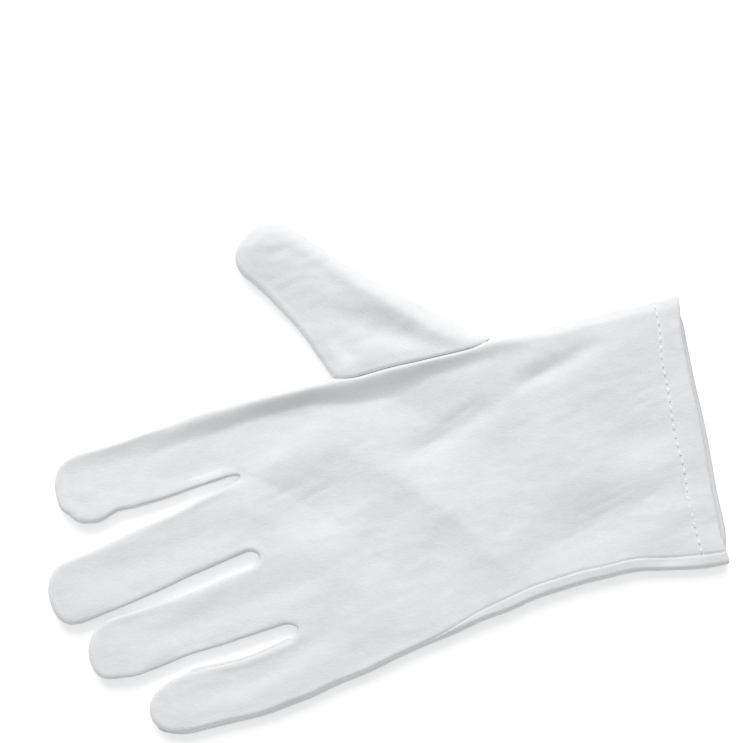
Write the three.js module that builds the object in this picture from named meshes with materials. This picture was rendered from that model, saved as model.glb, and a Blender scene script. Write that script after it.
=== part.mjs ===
import * as THREE from "three";

// A white cotton parade glove for the left hand, lying on its palm with the thumb out to the side.
// Millimetres. X runs from the little finger towards the thumb, Y from the cuff to the fingertips, Z up.
// The glove is sewn from a back panel, a palm panel, a side strip in each fork between two fingers, and a
// thumb sleeve. The wrist is closed by a turned-in hem. Every wall is one layer of cotton jersey.

// Lengths and widths, measured flat
const PALM_LENGTH = 165; // cuff corner to the fork beside the index finger
const KNUCKLE_WIDTH = 107;
const WRIST_WIDTH = 90.8;
const CUFF_WIDTH = 97.6;
const WRIST_AT = 58; // narrowest place, from the cuff
const CUFF_SLANT = 10; // the little finger corner of the cuff lies this much further in
const FINGER_LENGTH = 73; // fork to tip of the middle finger
const FINGER_WIDTH = 24;
const THUMB_LENGTH = 74.5;
const THUMB_WIDTH = 24.5;
const THUMB_BASE = 57; // length of the hole in the index side
const THUMB_AT = 97; // middle of that hole, from the cuff
const THUMB_ANGLE = 39; // degrees from straight out to the side, towards the fingers
const THUMB_TIP = 12; // length of its rounded end
const THUMB_END_POWER = 2.5; // how square that end is, 2 being round
const THUMB_WAIST = 1.6; // its sides bow in by this much between root and end
const THUMB_LAP = 3.2; // its seam on the back lies this far in from the hand's edge

// Cloth
const WALL = 1;
const HEM_WALL = 0.8;
const HEM_DEPTH = 10;
const SEAM_GAP = 0.3;

// Heights above the table
const EDGE_HEIGHT = 3; // where back and palm meet round the outline
const CUFF_LOFT = 9.4;
const HAND_LOFT = 11;
const KNUCKLE_LOFT = 9.4;
const FINGER_LOFT = 7.8;
const THUMB_LOFT = 8.4;
const THUMB_ROOT_LOFT = 9.2; // the thumb's fullest place, just past its seam
const THUMB_ROOT_FLOOR = 0.45; // the thumb's underside at the hole
const STRIP_HEIGHT = 3.2; // side strip in the forks, seam to seam

// Roundness of the edges, measured in from the outline
const HAND_ROUND = 13;
const FINGER_ROUND = 8.5;
const THUMB_ROUND = 10;
const UNDER_ROUND = 5;
const EDGE_FULL_POWER = 2.2; // exponents of the rolled edge's curve
const EDGE_STEEP_POWER = 0.6;

// Where the palm changes along its length, as shares of PALM_LENGTH from the cuff
const LOFT_PEAK_SHARE = 0.55;
const KNUCKLE_FROM_SHARE = 0.6; // the finger's rounder edge sets in
const LIP_FADE_FROM_SHARE = 0.52; // the side seam starts to slip off the back
const LIP_FADE_TO_SHARE = 0.72;
const WIDTH_POWER = 1.3; // exponent of the widening from wrist to knuckles

// Where a finger changes, as shares of its straight part, and how far its end drops
const FINGER_TURN_SHARE = 0.6; // its cross rows are square to it from here
const FINGER_SETTLED_SHARE = 0.5; // its height is FINGER_LOFT from here
const TIP_SHARE = 0.85; // height at the tip as a share of FINGER_LOFT

// Where the thumb changes, as shares of its straight part
const THUMB_FILLED_SHARE = 0.2; // the upper side leaves the seam and is full here
const THUMB_GROUNDED_SHARE = 0.35; // the underside lies on the table from here
const THUMB_UNLAPPED_SHARE = 0.5; // the lap over the hand has faded out here
const THUMB_SETTLED_SHARE = 0.7; // its height is THUMB_LOFT from here
const THUMB_TIP_SHARE = 0.9;

// Side seam: the palm panel turns up and this far over the back on the little finger side
const SIDE_LIP = 4.1;
const SIDE_LIP_LEAST = 0.8;

// base: share of KNUCKLE_WIDTH. drop: how far its little finger side fork lies below the first, share of
// PALM_LENGTH. fork: half the width of that fork, share of FINGER_WIDTH. reach: tip beyond the first fork,
// lean: tip's shift towards the little finger and bow: how far the finger bows that way, shares of
// FINGER_LENGTH. width and tip: width and length of the rounded end, shares of FINGER_WIDTH. square: how
// square the end is, 2 being round.
const FINGER_TABLE = [
  ["name", "base", "drop", "fork", "reach", "lean", "bow", "width", "tip", "square"],
  ["index", 0.2555, 0, 0.035, 0.86, 0.072, 0, 1.04, 0.55, 2.6],
  ["middle", 0.261, 0, 0.095, 0.99, 0.182, 0, 0.94, 0.58, 2.2],
  ["ring", 0.268, 0.042, 0.1, 0.862, 0.085, 0.006, 0.89, 0.56, 2.2],
  ["little", 0.2155, 0.042, 0, 0.645, 0.064, 0.02, 0.81, 0.6, 2.2],
];

// Soft folds of the back, each along a straight line. x0, x1: shares of KNUCKLE_WIDTH from the index side.
// y0, y1: shares of PALM_LENGTH from the cuff. width: share of FINGER_WIDTH. rise: share of HAND_LOFT,
// negative for a dent.
const FOLDS = [
  { x0: 0.075, y0: 1.2, x1: 0.065, y1: 0.42, width: 0.14, rise: -0.2 }, // hollow behind the index edge
  { x0: 0.22, y0: 0.76, x1: 0.8, y1: 0.52, width: 0.22, rise: 0.09 }, // diagonal ridge over the back
  { x0: 0.3, y0: 0.95, x1: 0.28, y1: 0.74, width: 0.14, rise: -0.1 }, // hollow below the middle finger
  { x0: 0.29, y0: 0.68, x1: 0.2, y1: 0.4, width: 0.14, rise: -0.08 }, // hollow towards the wrist
  { x0: 0.13, y0: 0.37, x1: 0.085, y1: 0.26, width: 0.1, rise: -0.09 }, // short crease at the wrist
  { x0: 0.67, y0: 0.4, x1: 0.63, y1: 0.2, width: 0.2, rise: -0.08 }, // hollow above the hem
  { x0: 0.42, y0: 1.24, x1: 0.35, y1: 1.02, width: 0.12, rise: -0.07 }, // hollow along the middle finger
  { x0: 0.66, y0: 1.2, x1: 0.62, y1: 1.0, width: 0.12, rise: -0.06 }, // hollow along the ring finger
];

// Stations of the grid. A lane is one finger and the stretch of palm below it.
const LANE_COLUMNS = [0, 0.08, 0.22, 0.4, 0.6, 0.78, 0.92, 1];
const PALM_ROWS = 18;
const FORK_STEPS = [0.03, 0.08, 0.16]; // rows close together at a fork, as shares of the straight part
const SHAFT_ROWS = 5;
const TIP_ROWS = 4;
const THUMB_COLUMNS = 10;
const THUMB_SHAFT_ROWS = 8;
const THUMB_TIP_ROWS = 4;
const HEM_ROWS = 3;
const LIP_COLUMNS = 3;
const LIP_POWER = 1.6; // its columns crowd towards the edge by this exponent
const TIP_TURN = Math.PI / 4; // the sides of a rounded end are followed this far round
const FOLD_FADE = 4; // folds fade out over this length at the edges
const FORK_ROUND = 4; // length over which a fork opens to its width
const STRIP_END_SHARE = 0.62; // a side strip runs out at this share of the rounded end
const STRIP_CLOSED_SHARE = 0.92; // the two panels' seams have met at this share of it
const LEAST_LOFT = 1; // the cloth above keeps at least this much height over its rim

const clamp = (t) => Math.min(1, Math.max(0, t));
const mix = (a, b, t) => a * (1 - t) + b * t;
const smooth = (t) => clamp(t) ** 2 * (3 - 2 * clamp(t));
const ease = (t) => 1 - (1 - clamp(t)) ** 2;
const mixPoint = (p, q, t) => [mix(p[0], q[0], t), mix(p[1], q[1], t)];

// Rises from 0 at the outline to 1 at a full round's distance, steep at first like a rolled edge.
const roundOver = (t) => (1 - (1 - clamp(t)) ** EDGE_FULL_POWER) ** EDGE_STEEP_POWER;

// A table's rows as objects, keyed by its first row.
const readTable = ([names, ...lines]) =>
  lines.map((line) => Object.fromEntries(names.map((name, i) => [name, line[i]])));
const FINGERS = readTable(FINGER_TABLE);

// Flat pattern

// Width of the hand at a distance from the cuff: flared cuff, narrow wrist, wide knuckles.
function handWidth(y) {
  if (y < WRIST_AT) return mix(CUFF_WIDTH, WRIST_WIDTH, smooth(y / WRIST_AT));
  const t = clamp((y - WRIST_AT) / (PALM_LENGTH - WRIST_AT));
  return mix(WRIST_WIDTH, KNUCKLE_WIDTH, t ** WIDTH_POWER);
}

// How far the palm panel reaches over the back on the little finger side.
function sideLip(y) {
  const fade = smooth((y / PALM_LENGTH - LIP_FADE_FROM_SHARE) / (LIP_FADE_TO_SHARE - LIP_FADE_FROM_SHARE));
  return mix(SIDE_LIP, SIDE_LIP_LEAST, fade);
}

// Lane borders: 0 is the index edge, 1 to 3 lead to the forks, 4 is the little finger edge.
const borderShares = [0];
FINGERS.forEach((f, i) => borderShares.push(borderShares[i] + f.base));
const borderScale = borderShares.at(-1);
const borderTop = (k) => PALM_LENGTH * (1 - FINGERS[Math.max(0, k - 1)].drop);
const forkHalf = (k) => (k > 0 && k < 4 ? FINGERS[k - 1].fork * FINGER_WIDTH : 0);

// A point on lane border k at share v of the palm. inset moves the outline and the forks inwards, and
// trim does so on the little finger edge alone.
function borderPoint(k, v, inset, trim) {
  const share = borderShares[k] / borderScale;
  const fork = k > 0 && k < 4 ? inset : 0;
  const y = mix(CUFF_SLANT * share, borderTop(k) - fork, v);
  let x = -handWidth(y) * share;
  if (k === 0) x -= inset;
  if (k === 4) x += trim;
  return [x, y];
}

// The straight part and the rounded end of one finger.
function fingerFrame(lane) {
  const f = FINGERS[lane];
  const start = mixPoint(borderPoint(lane, 1, 0, 0), borderPoint(lane + 1, 1, 0, 0), 0.5);
  const apex = [start[0] - f.lean * FINGER_LENGTH, PALM_LENGTH + f.reach * FINGER_LENGTH];
  const length = Math.hypot(apex[0] - start[0], apex[1] - start[1]);
  const axis = [(apex[0] - start[0]) / length, (apex[1] - start[1]) / length];
  const tip = f.tip * FINGER_WIDTH;
  const half = (f.width * FINGER_WIDTH) / 2;
  const end = [apex[0] - axis[0] * tip, apex[1] - axis[1] * tip];
  const bow = f.bow * FINGER_LENGTH;
  return { end, axis, across: [axis[1], -axis[0]], length: length - tip, tip, half, bow, square: f.square };
}
const frames = FINGERS.map((_, lane) => fingerFrame(lane));

// Rounded end: side s from -1 to 1 across, turn from 0 to TIP_TURN along, as a share of a superellipse.
function roundedEnd(frame, s, turn, minus, plus, inset) {
  const power = 2 / frame.square;
  const wide = Math.cos(turn) ** power;
  const high = Math.sin(turn) ** power;
  const bulge = (1 - Math.abs(s * wide) ** frame.square) ** (1 / frame.square) - high;
  const along = (frame.tip - inset) * (high + smooth(turn / TIP_TURN) * bulge);
  const aside = s * wide * (frame.half - (s < 0 ? minus : plus));
  return [
    frame.end[0] + frame.axis[0] * along + frame.across[0] * aside,
    frame.end[1] + frame.axis[1] * along + frame.across[1] * aside,
  ];
}

// A point of the flat pattern. u goes from the lane's index side to its little finger side. v is 0 to 1
// in the palm, 1 to 2 up the finger, and 2 to 3 round its end.
function plan(lane, u, v, inset, trim = inset) {
  if (v <= 1) {
    return mixPoint(borderPoint(lane, v, inset, trim), borderPoint(lane + 1, v, inset, trim), u);
  }
  const frame = frames[lane];
  if (v > 2) {
    const little = lane === 3 ? trim : inset;
    return roundedEnd(frame, 1 - 2 * u, (v - 2) * TIP_TURN, little, inset, inset);
  }
  const right = borderPoint(lane, 1, inset, trim);
  const left = borderPoint(lane + 1, 1, inset, trim);
  const along = (v - 1) * frame.length;
  const sidePoint = (k, sign) => {
    const half = forkHalf(k);
    const base = Math.hypot(right[0] - left[0], right[1] - left[1]) / 2;
    const taken = k === 4 ? trim : inset;
    const free = k === 0 || k === 4;
    const cut = free ? 0 : (half + inset) * roundOver(along / (FORK_ROUND + inset));
    const wide = mix(base, frame.half - taken + (free ? 0 : half + inset), ease(v - 1)) - cut;
    const turn = smooth((v - 1) / FINGER_TURN_SHARE);
    const flat = [(right[0] - left[0]) / (2 * base), (right[1] - left[1]) / (2 * base)];
    const across = mixPoint(flat, frame.across, turn);
    const size = Math.hypot(across[0], across[1]);
    const centre = mixPoint(mixPoint(right, left, 0.5), frame.end, v - 1);
    const aside = sign * wide - frame.bow * Math.sin(Math.PI * (v - 1));
    return [centre[0] + (across[0] * aside) / size, centre[1] + (across[1] * aside) / size];
  };
  return mixPoint(sidePoint(lane, 1), sidePoint(lane + 1, -1), u);
}

// Outline

const palmSteps = Array.from({ length: PALM_ROWS + 1 }, (_, i) => i / PALM_ROWS);
const shaftSteps = FORK_STEPS.concat(
  Array.from({ length: SHAFT_ROWS }, (_, i) => mix(FORK_STEPS.at(-1), 1, (i + 1) / SHAFT_ROWS)),
);
const tipSteps = Array.from({ length: TIP_ROWS }, (_, i) => (i + 1) / TIP_ROWS);
const fingerSteps = [...shaftSteps.map((t) => 1 + t), ...tipSteps.map((t) => 2 + t)];

// The outline of the hand and fingers from the cuff up the index side and down the little finger side.
const outline = [];
palmSteps.forEach((v) => outline.push(plan(0, 0, v, 0)));
FINGERS.forEach((_, lane) => {
  fingerSteps.forEach((v) => outline.push(plan(lane, 0, v, 0)));
  LANE_COLUMNS.slice(1).forEach((u) => outline.push(plan(lane, u, 3, 0)));
  fingerSteps.slice(0, -1).reverse().forEach((v) => outline.push(plan(lane, 1, v, 0)));
  outline.push(plan(lane, 1, 1, 0));
});
palmSteps.slice(0, -1).reverse().forEach((v) => outline.push(plan(3, 1, v, 0)));

function distanceTo(line, [x, y]) {
  let least = Infinity;
  for (let i = 1; i < line.length; i += 1) {
    const [ax, ay] = line[i - 1];
    const dx = line[i][0] - ax;
    const dy = line[i][1] - ay;
    const t = clamp(((x - ax) * dx + (y - ay) * dy) / (dx * dx + dy * dy || 1));
    least = Math.min(least, Math.hypot(x - ax - t * dx, y - ay - t * dy));
  }
  return least;
}

// Heights

// How open the thumb's hole is at a distance from the cuff, 0 at its ends and 1 in the middle. inset
// takes that much off either end.
function holeOpen(y, round, inset) {
  return roundOver((THUMB_BASE / 2 - inset - Math.abs(y - THUMB_AT)) / (round - inset));
}

// How far in from the hand's edge the thumb's seam on the back lies.
const thumbLap = (y, inset) => THUMB_LAP * holeOpen(y, THUMB_ROUND, inset);

// Half the height between the two panels at a finger's inner sides, running out round its end.
function stripHalf(v) {
  if (v <= 2) return STRIP_HEIGHT / 2;
  return (STRIP_HEIGHT / 2) * (1 - smooth((v - 2) / STRIP_CLOSED_SHARE));
}

// The height of the panel's rim above or below the outline's own height, as it runs on inside.
function rimRise(lane, u, v, y, side) {
  const strip = v < 1 ? STRIP_HEIGHT / 2 : stripHalf(v);
  const hole = (EDGE_HEIGHT - THUMB_ROOT_FLOOR - WALL) * holeOpen(y, UNDER_ROUND, WALL);
  const right = lane === 0 ? (side > 0 ? 0 : hole) : strip;
  const left = lane === 3 ? 0 : strip;
  return mix(right, left, u);
}

function loftAt(v) {
  if (v < LOFT_PEAK_SHARE) return mix(CUFF_LOFT, HAND_LOFT, smooth(v / LOFT_PEAK_SHARE));
  if (v < 1) return mix(HAND_LOFT, KNUCKLE_LOFT, smooth((v - LOFT_PEAK_SHARE) / (1 - LOFT_PEAK_SHARE)));
  if (v < 2) return mix(KNUCKLE_LOFT, FINGER_LOFT, smooth((v - 1) / FINGER_SETTLED_SHARE));
  return mix(FINGER_LOFT, FINGER_LOFT * TIP_SHARE, smooth(v - 2));
}

function roundAt(v) {
  return mix(HAND_ROUND, FINGER_ROUND, smooth((v - KNUCKLE_FROM_SHARE) / (1 - KNUCKLE_FROM_SHARE)));
}

function foldRise(x, y) {
  let rise = 0;
  for (const fold of FOLDS) {
    const a = [-fold.x0 * KNUCKLE_WIDTH, fold.y0 * PALM_LENGTH];
    const b = [-fold.x1 * KNUCKLE_WIDTH, fold.y1 * PALM_LENGTH];
    const away = distanceTo([a, b], [x, y]) / (fold.width * FINGER_WIDTH);
    rise += fold.rise * HAND_LOFT * Math.exp(-away * away);
  }
  return rise;
}

// Height of the upper cloth at a depth below its outer face. d is the distance in from the outline.
function upperHeight(v, rim, d, depth, [x, y]) {
  const round = roundAt(v) - depth;
  const flatTop = Math.max(loftAt(v) - depth - rim, LEAST_LOFT);
  return rim + flatTop * roundOver((d - depth) / round) + foldRise(x, y) * smooth((d - depth) / FOLD_FADE);
}

// Height of the cloth underneath, flat on the table inside the round of the edge.
const lowerHeight = (rim, d, depth) =>
  mix(rim, depth, roundOver((d - depth) / (UNDER_ROUND - depth)));

// Solids from sheets

// A sheet of cloth: each vertex has an outer and an inner place, and the free edges are closed.
class Sheet {
  constructor() {
    this.keys = new Map();
    this.outer = [];
    this.inner = [];
    this.faces = [];
  }

  vertex(key, makePlaces) {
    if (!this.keys.has(key)) {
      this.keys.set(key, this.outer.length);
      const [outer, inner] = makePlaces();
      this.outer.push(outer);
      this.inner.push(inner);
    }
    return this.keys.get(key);
  }

  // The cell of a grid that ends at column i and row j, facing up or turned over.
  cell(corner, i, j, over = false) {
    const ring = [corner(i - 1, j - 1), corner(i - 1, j), corner(i, j), corner(i, j - 1)];
    const [a, b, c, d] = over ? ring.reverse() : ring;
    this.faces.push([a, b, c], [a, c, d]);
  }

  geometry() {
    const count = this.outer.length;
    const triangles = [];
    const edges = new Set();
    this.faces.forEach((face) => {
      triangles.push(face, [face[2] + count, face[1] + count, face[0] + count]);
      face.forEach((a, i) => edges.add(`${a}_${face[(i + 1) % 3]}`));
    });
    edges.forEach((edge) => {
      const [a, b] = edge.split("_").map(Number);
      if (!edges.has(`${b}_${a}`)) triangles.push([b, a, a + count], [b, a + count, b + count]);
    });
    const places = [...this.outer, ...this.inner].flat();
    return new THREE.BufferGeometry()
      .setAttribute("position", new THREE.Float32BufferAttribute(places, 3))
      .setIndex(triangles.flat());
  }
}

// Panels

const columnCount = LANE_COLUMNS.length - 1;
const rows = [...palmSteps, ...fingerSteps];
const cornerKey = (lane, column, row) =>
  row < palmSteps.length ? `palm ${lane * columnCount + column} ${row}` : `${lane} ${column} ${row}`;

// The side seam's place on the inner face, which turns to the vertical as the lip narrows.
const innerLip = (lip) => WALL + (lip * lip) / (lip + WALL);

function onOutline(lane, u, v) {
  if (v === 3) return true;
  if (u === 0) return lane === 0 || v >= 1;
  return u === 1 && (lane === 3 || v >= 1);
}

// Both faces of the back panel at one corner of the grid.
function backPlaces(lane, u, v) {
  const lip = sideLip(plan(lane, u, v, 0)[1]);
  const faces = [
    { depth: 0, trim: lip + SEAM_GAP / 2 },
    { depth: WALL, trim: innerLip(lip) + SEAM_GAP / 2 },
  ];
  return faces.map(({ depth, trim }) => {
    const place = plan(lane, u, v, depth, trim);
    const lap = lane === 0 && v < 1 ? thumbLap(place[1], 0) : 0;
    place[0] -= lap * (1 - u);
    const rim = EDGE_HEIGHT + SEAM_GAP / 2 + rimRise(lane, u, v, place[1], 1);
    const seamed = (lane === 3 && u === 1) || lap > 0;
    const d = onOutline(lane, u, v) && !seamed ? depth : distanceTo(outline, place);
    return [...place, upperHeight(v, rim, Math.max(d, depth), depth, place)];
  });
}

// Both faces of the palm panel where it lies on the table.
function palmPlaces(lane, u, v) {
  return [0, WALL].map((depth) => {
    const place = plan(lane, u, v, depth);
    const rim = EDGE_HEIGHT - SEAM_GAP / 2 - rimRise(lane, u, v, place[1], -1);
    const d = onOutline(lane, u, v) ? depth : distanceTo(outline, place);
    return [...place, lowerHeight(rim, Math.max(d, depth), depth)];
  });
}

// Both faces of the palm panel where it turns up over the back. share runs from the edge to the seam.
function lipPlaces(v, share) {
  const lip = sideLip(plan(3, 1, v, 0)[1]);
  const faces = [
    { depth: 0, reach: lip - SEAM_GAP / 2 },
    { depth: WALL, reach: innerLip(lip) - SEAM_GAP / 2 },
  ];
  return faces.map(({ depth, reach }) => {
    const trim = mix(depth, reach, share ** LIP_POWER);
    const place = plan(3, 1, v, depth, trim);
    return [...place, upperHeight(v, EDGE_HEIGHT, Math.max(trim, depth), depth, place)];
  });
}

// The lanes' cells, each lane sharing its palm borders with the next and parting from it at the fork.
function drawLanes(sheet, places, over) {
  FINGERS.forEach((_, lane) => {
    const corner = (column, row) =>
      sheet.vertex(cornerKey(lane, column, row), () => places(lane, LANE_COLUMNS[column], rows[row]));
    for (let row = 1; row < rows.length; row += 1)
      for (let column = 1; column <= columnCount; column += 1) sheet.cell(corner, column, row, over);
  });
}

function backPanel() {
  const sheet = new Sheet();
  drawLanes(sheet, backPlaces, false);
  return sheet.geometry();
}

function palmPanel() {
  const sheet = new Sheet();
  drawLanes(sheet, palmPlaces, true);
  const last = FINGERS.length - 1;
  const corner = (column, row) =>
    column === 0
      ? sheet.vertex(cornerKey(last, columnCount, row))
      : sheet.vertex(`lip ${column} ${row}`, () => lipPlaces(rows[row], column / LIP_COLUMNS));
  for (let row = 1; row < rows.length; row += 1)
    for (let column = 1; column <= LIP_COLUMNS; column += 1) sheet.cell(corner, column, row, true);
  return sheet.geometry();
}

// Side strip in the fork between two fingers: down one finger, round the fork and up the next.
function forkStrip(lane) {
  const steps = fingerSteps.filter((v) => v <= 2 + STRIP_END_SHARE);
  const down = steps.slice().reverse().map((v) => [lane, 1, v]);
  const stations = [...down, [lane, 1, 1], ...steps.map((v) => [lane + 1, 0, v])];
  const sheet = new Sheet();
  const corner = (station, seam) =>
    sheet.vertex(`${station} ${seam}`, () => {
      const [of, u, v] = stations[station];
      const height = EDGE_HEIGHT + (2 * seam - 1) * (stripHalf(v) - SEAM_GAP / 2);
      return [0, WALL].map((depth) => [...plan(of, u, v, depth), height]);
    });
  for (let i = 1; i < stations.length; i += 1) sheet.cell(corner, i, 1, true);
  return sheet.geometry();
}

// Turned-in hem: a flat ring just inside the cuff.
function cuffHem() {
  const stations = [[0, 0]];
  FINGERS.forEach((_, lane) => LANE_COLUMNS.slice(1).forEach((u) => stations.push([lane, u])));
  const last = stations.length - 1;
  const loop = [
    ...stations.map(([lane, u]) => [lane, u, 1]),
    ...stations.slice(1, last).reverse().map(([lane, u]) => [lane, u, -1]),
  ];
  const sheet = new Sheet();
  const corner = (index, row) =>
    sheet.vertex(`${index % loop.length} ${row}`, () => {
      const [lane, u, side] = loop[index % loop.length];
      const v = (HEM_DEPTH / PALM_LENGTH) * (row / HEM_ROWS);
      const edge = onOutline(lane, u, v);
      return [WALL + SEAM_GAP, WALL + SEAM_GAP + HEM_WALL].map((depth) => {
        const place = plan(lane, u, v, depth);
        const d = edge ? depth : Math.max(distanceTo(outline, place), depth);
        const upper = upperHeight(v, EDGE_HEIGHT, d, depth, place);
        return [...place, side > 0 ? upper : lowerHeight(EDGE_HEIGHT, d, depth)];
      });
    });
  for (let index = 1; index <= loop.length; index += 1)
    for (let row = 1; row <= HEM_ROWS; row += 1) sheet.cell(corner, index, row);
  return sheet.geometry();
}

// Thumb

const thumbTurn = THREE.MathUtils.degToRad(THUMB_ANGLE);
const thumbAxis = [Math.cos(thumbTurn), Math.sin(thumbTurn)];
const thumbFrame = {
  axis: thumbAxis,
  across: [-thumbAxis[1], thumbAxis[0]],
  end: [
    SEAM_GAP + thumbAxis[0] * (THUMB_LENGTH - THUMB_TIP),
    THUMB_AT + thumbAxis[1] * (THUMB_LENGTH - THUMB_TIP),
  ],
  half: THUMB_WIDTH / 2,
  tip: THUMB_TIP,
  square: THUMB_END_POWER,
};
const THUMB_ROWS = THUMB_SHAFT_ROWS + THUMB_TIP_ROWS;
const thumbSteps = Array.from({ length: THUMB_ROWS + 1 }, (_, i) =>
  i <= THUMB_SHAFT_ROWS ? i / THUMB_SHAFT_ROWS : 1 + (i - THUMB_SHAFT_ROWS) / THUMB_TIP_ROWS,
);

// A point of the thumb's flat pattern. u goes from its far side to the side next to the fingers. v is 0
// to 1 up the thumb and 1 to 2 round its end. inset moves the outline inwards.
function thumbPlan(u, v, inset) {
  if (v > 1) return roundedEnd(thumbFrame, 2 * u - 1, (v - 1) * TIP_TURN, inset, inset, inset);
  const waist = THUMB_WAIST * Math.sin(Math.PI * v);
  const sidePoint = (sign) => {
    const root = [SEAM_GAP, THUMB_AT + sign * (THUMB_BASE / 2 - SEAM_GAP - inset)];
    const { end, across, half } = thumbFrame;
    const wide = sign * (v * (half - inset) - waist);
    const middle = mixPoint(root, end, v);
    return [middle[0] + across[0] * wide, middle[1] + across[1] * wide];
  };
  return mixPoint(sidePoint(-1), sidePoint(1), u);
}

const thumbEnd = [];
for (let i = 0; i <= THUMB_SHAFT_ROWS; i += 1) thumbEnd.push(thumbPlan(0, 1 + i / THUMB_SHAFT_ROWS, 0));
for (let i = 1; i <= THUMB_COLUMNS; i += 1) thumbEnd.push(thumbPlan(i / THUMB_COLUMNS, 2, 0));
for (let i = THUMB_SHAFT_ROWS; i >= 0; i -= 1) thumbEnd.push(thumbPlan(1, 1 + i / THUMB_SHAFT_ROWS, 0));

// Distance in from the thumb's outline, measured across it, or from its rounded end where that is nearer.
function thumbDistance(u, v, place, inset) {
  if (u === 0 || u === 1 || v === 2) return inset;
  const [a, b] = [thumbPlan(0, v, 0), thumbPlan(1, v, 0)];
  const across = v > 1 ? Infinity : Math.min(distanceTo([a, a], place), distanceTo([b, b], place));
  return Math.max(inset, Math.min(across, distanceTo(thumbEnd, place)));
}

// Height of the back along the thumb's seam, which the thumb's root follows.
function seamHeight(y, depth) {
  const lap = thumbLap(y, SEAM_GAP + depth);
  const rise = upperHeight(y / PALM_LENGTH, EDGE_HEIGHT, lap, 0, [-lap, y]) - EDGE_HEIGHT;
  const full = upperHeight(THUMB_AT / PALM_LENGTH, EDGE_HEIGHT, THUMB_LAP, 0, [-THUMB_LAP, THUMB_AT]);
  return EDGE_HEIGHT + rise * (1 - depth / (full - EDGE_HEIGHT));
}

// A point of the thumb on its upper or lower side, at a depth below the outer face.
function thumbPlace(u, v, side, depth) {
  const place = thumbPlan(u, v, depth);
  const d = thumbDistance(u, v, place, depth) - depth;
  if (side < 0) {
    const floor = mix(THUMB_ROOT_FLOOR, 0, smooth(v / THUMB_GROUNDED_SHARE));
    return [...place, mix(EDGE_HEIGHT, floor + depth, roundOver(d / (UNDER_ROUND - depth)))];
  }
  const rootY = thumbPlan(u, 0, depth)[1];
  const settled = mix(THUMB_ROOT_LOFT, THUMB_LOFT, smooth(v / THUMB_SETTLED_SHARE));
  const loft = settled * mix(1, THUMB_TIP_SHARE, smooth(v - 1));
  const full = mix(EDGE_HEIGHT, loft - depth, roundOver(d / (THUMB_ROUND - depth)));
  const height = mix(seamHeight(rootY, depth), full, smooth(v / THUMB_FILLED_SHARE));
  const lap = thumbLap(rootY, SEAM_GAP + depth) * (1 - smooth(v / THUMB_UNLAPPED_SHARE));
  return [place[0] - lap, place[1], height];
}

function thumbSleeve() {
  const sheet = new Sheet();
  const corner = (column, row, side) => {
    const edge = column === 0 || column === THUMB_COLUMNS || row === THUMB_ROWS;
    return sheet.vertex(`${column} ${row} ${edge ? "edge" : side}`, () => {
      const u = (1 - Math.cos((Math.PI * column) / THUMB_COLUMNS)) / 2;
      const v = thumbSteps[row];
      return [0, WALL].map((depth) =>
        edge ? [...thumbPlan(u, v, depth), EDGE_HEIGHT] : thumbPlace(u, v, side, depth),
      );
    });
  };
  for (let row = 1; row <= THUMB_ROWS; row += 1)
    for (let column = 1; column <= THUMB_COLUMNS; column += 1) {
      sheet.cell((c, r) => corner(c, r, 1), column, row);
      sheet.cell((c, r) => corner(c, r, -1), column, row, true);
    }
  return sheet.geometry();
}

// Assembly

const cotton = (color) => new THREE.MeshStandardMaterial({ color, roughness: 0.92, metalness: 0 });

const glove = new THREE.Group();
glove.name = "parade_glove";

function addPiece(name, geometry, material) {
  const mesh = new THREE.Mesh(geometry, material);
  mesh.name = name;
  glove.add(mesh);
}

addPiece("back_panel", backPanel(), cotton(0xeeeff2));
addPiece("palm_panel", palmPanel(), cotton(0xeeeff2));
FINGERS.slice(0, -1).forEach((finger, lane) => {
  addPiece(`fourchette_${finger.name}_${FINGERS[lane + 1].name}`, forkStrip(lane), cotton(0xebecef));
});
addPiece("thumb", thumbSleeve(), cotton(0xeff0f3));
addPiece("cuff_hem", cuffHem(), cotton(0xedeef1));

// The origin is under the middle of the glove, on the table.
const box = new THREE.Box3().setFromObject(glove);
glove.position.set(-(box.min.x + box.max.x) / 2, -(box.min.y + box.max.y) / 2, -box.min.z);

export default glove;
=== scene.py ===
# %% [markdown]
# # A white parade glove, sewn from its flat pattern
# The real glove is thin cotton jersey: a back, a palm, a narrow side strip in each fork between two fingers,
# a thumb sleeve and a hem that is turned in at the cuff. It lies on its palm. Each piece could be sculpted or
# simulated, but a sewn glove is defined by its flat pattern, so every piece here is worked out from the same
# pattern. A point's place on the table comes from the pattern, and its height mostly from how far in from the
# edge it lies.

import bmesh
import bpy
import numpy as np
from mathutils import Matrix, Vector


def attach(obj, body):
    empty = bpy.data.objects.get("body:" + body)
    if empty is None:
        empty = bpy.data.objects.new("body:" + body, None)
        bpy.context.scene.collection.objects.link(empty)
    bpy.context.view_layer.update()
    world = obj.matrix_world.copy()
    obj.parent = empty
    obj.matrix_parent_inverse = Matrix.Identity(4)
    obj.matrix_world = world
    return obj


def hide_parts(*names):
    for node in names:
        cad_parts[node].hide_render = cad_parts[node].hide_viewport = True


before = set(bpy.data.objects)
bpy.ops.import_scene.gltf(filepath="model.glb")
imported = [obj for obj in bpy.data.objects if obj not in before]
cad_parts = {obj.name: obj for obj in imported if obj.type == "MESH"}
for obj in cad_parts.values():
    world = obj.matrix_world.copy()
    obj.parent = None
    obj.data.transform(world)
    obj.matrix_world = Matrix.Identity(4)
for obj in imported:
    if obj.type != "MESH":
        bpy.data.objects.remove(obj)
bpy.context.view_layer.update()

print("CAD nodes:", sorted(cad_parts))

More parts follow.
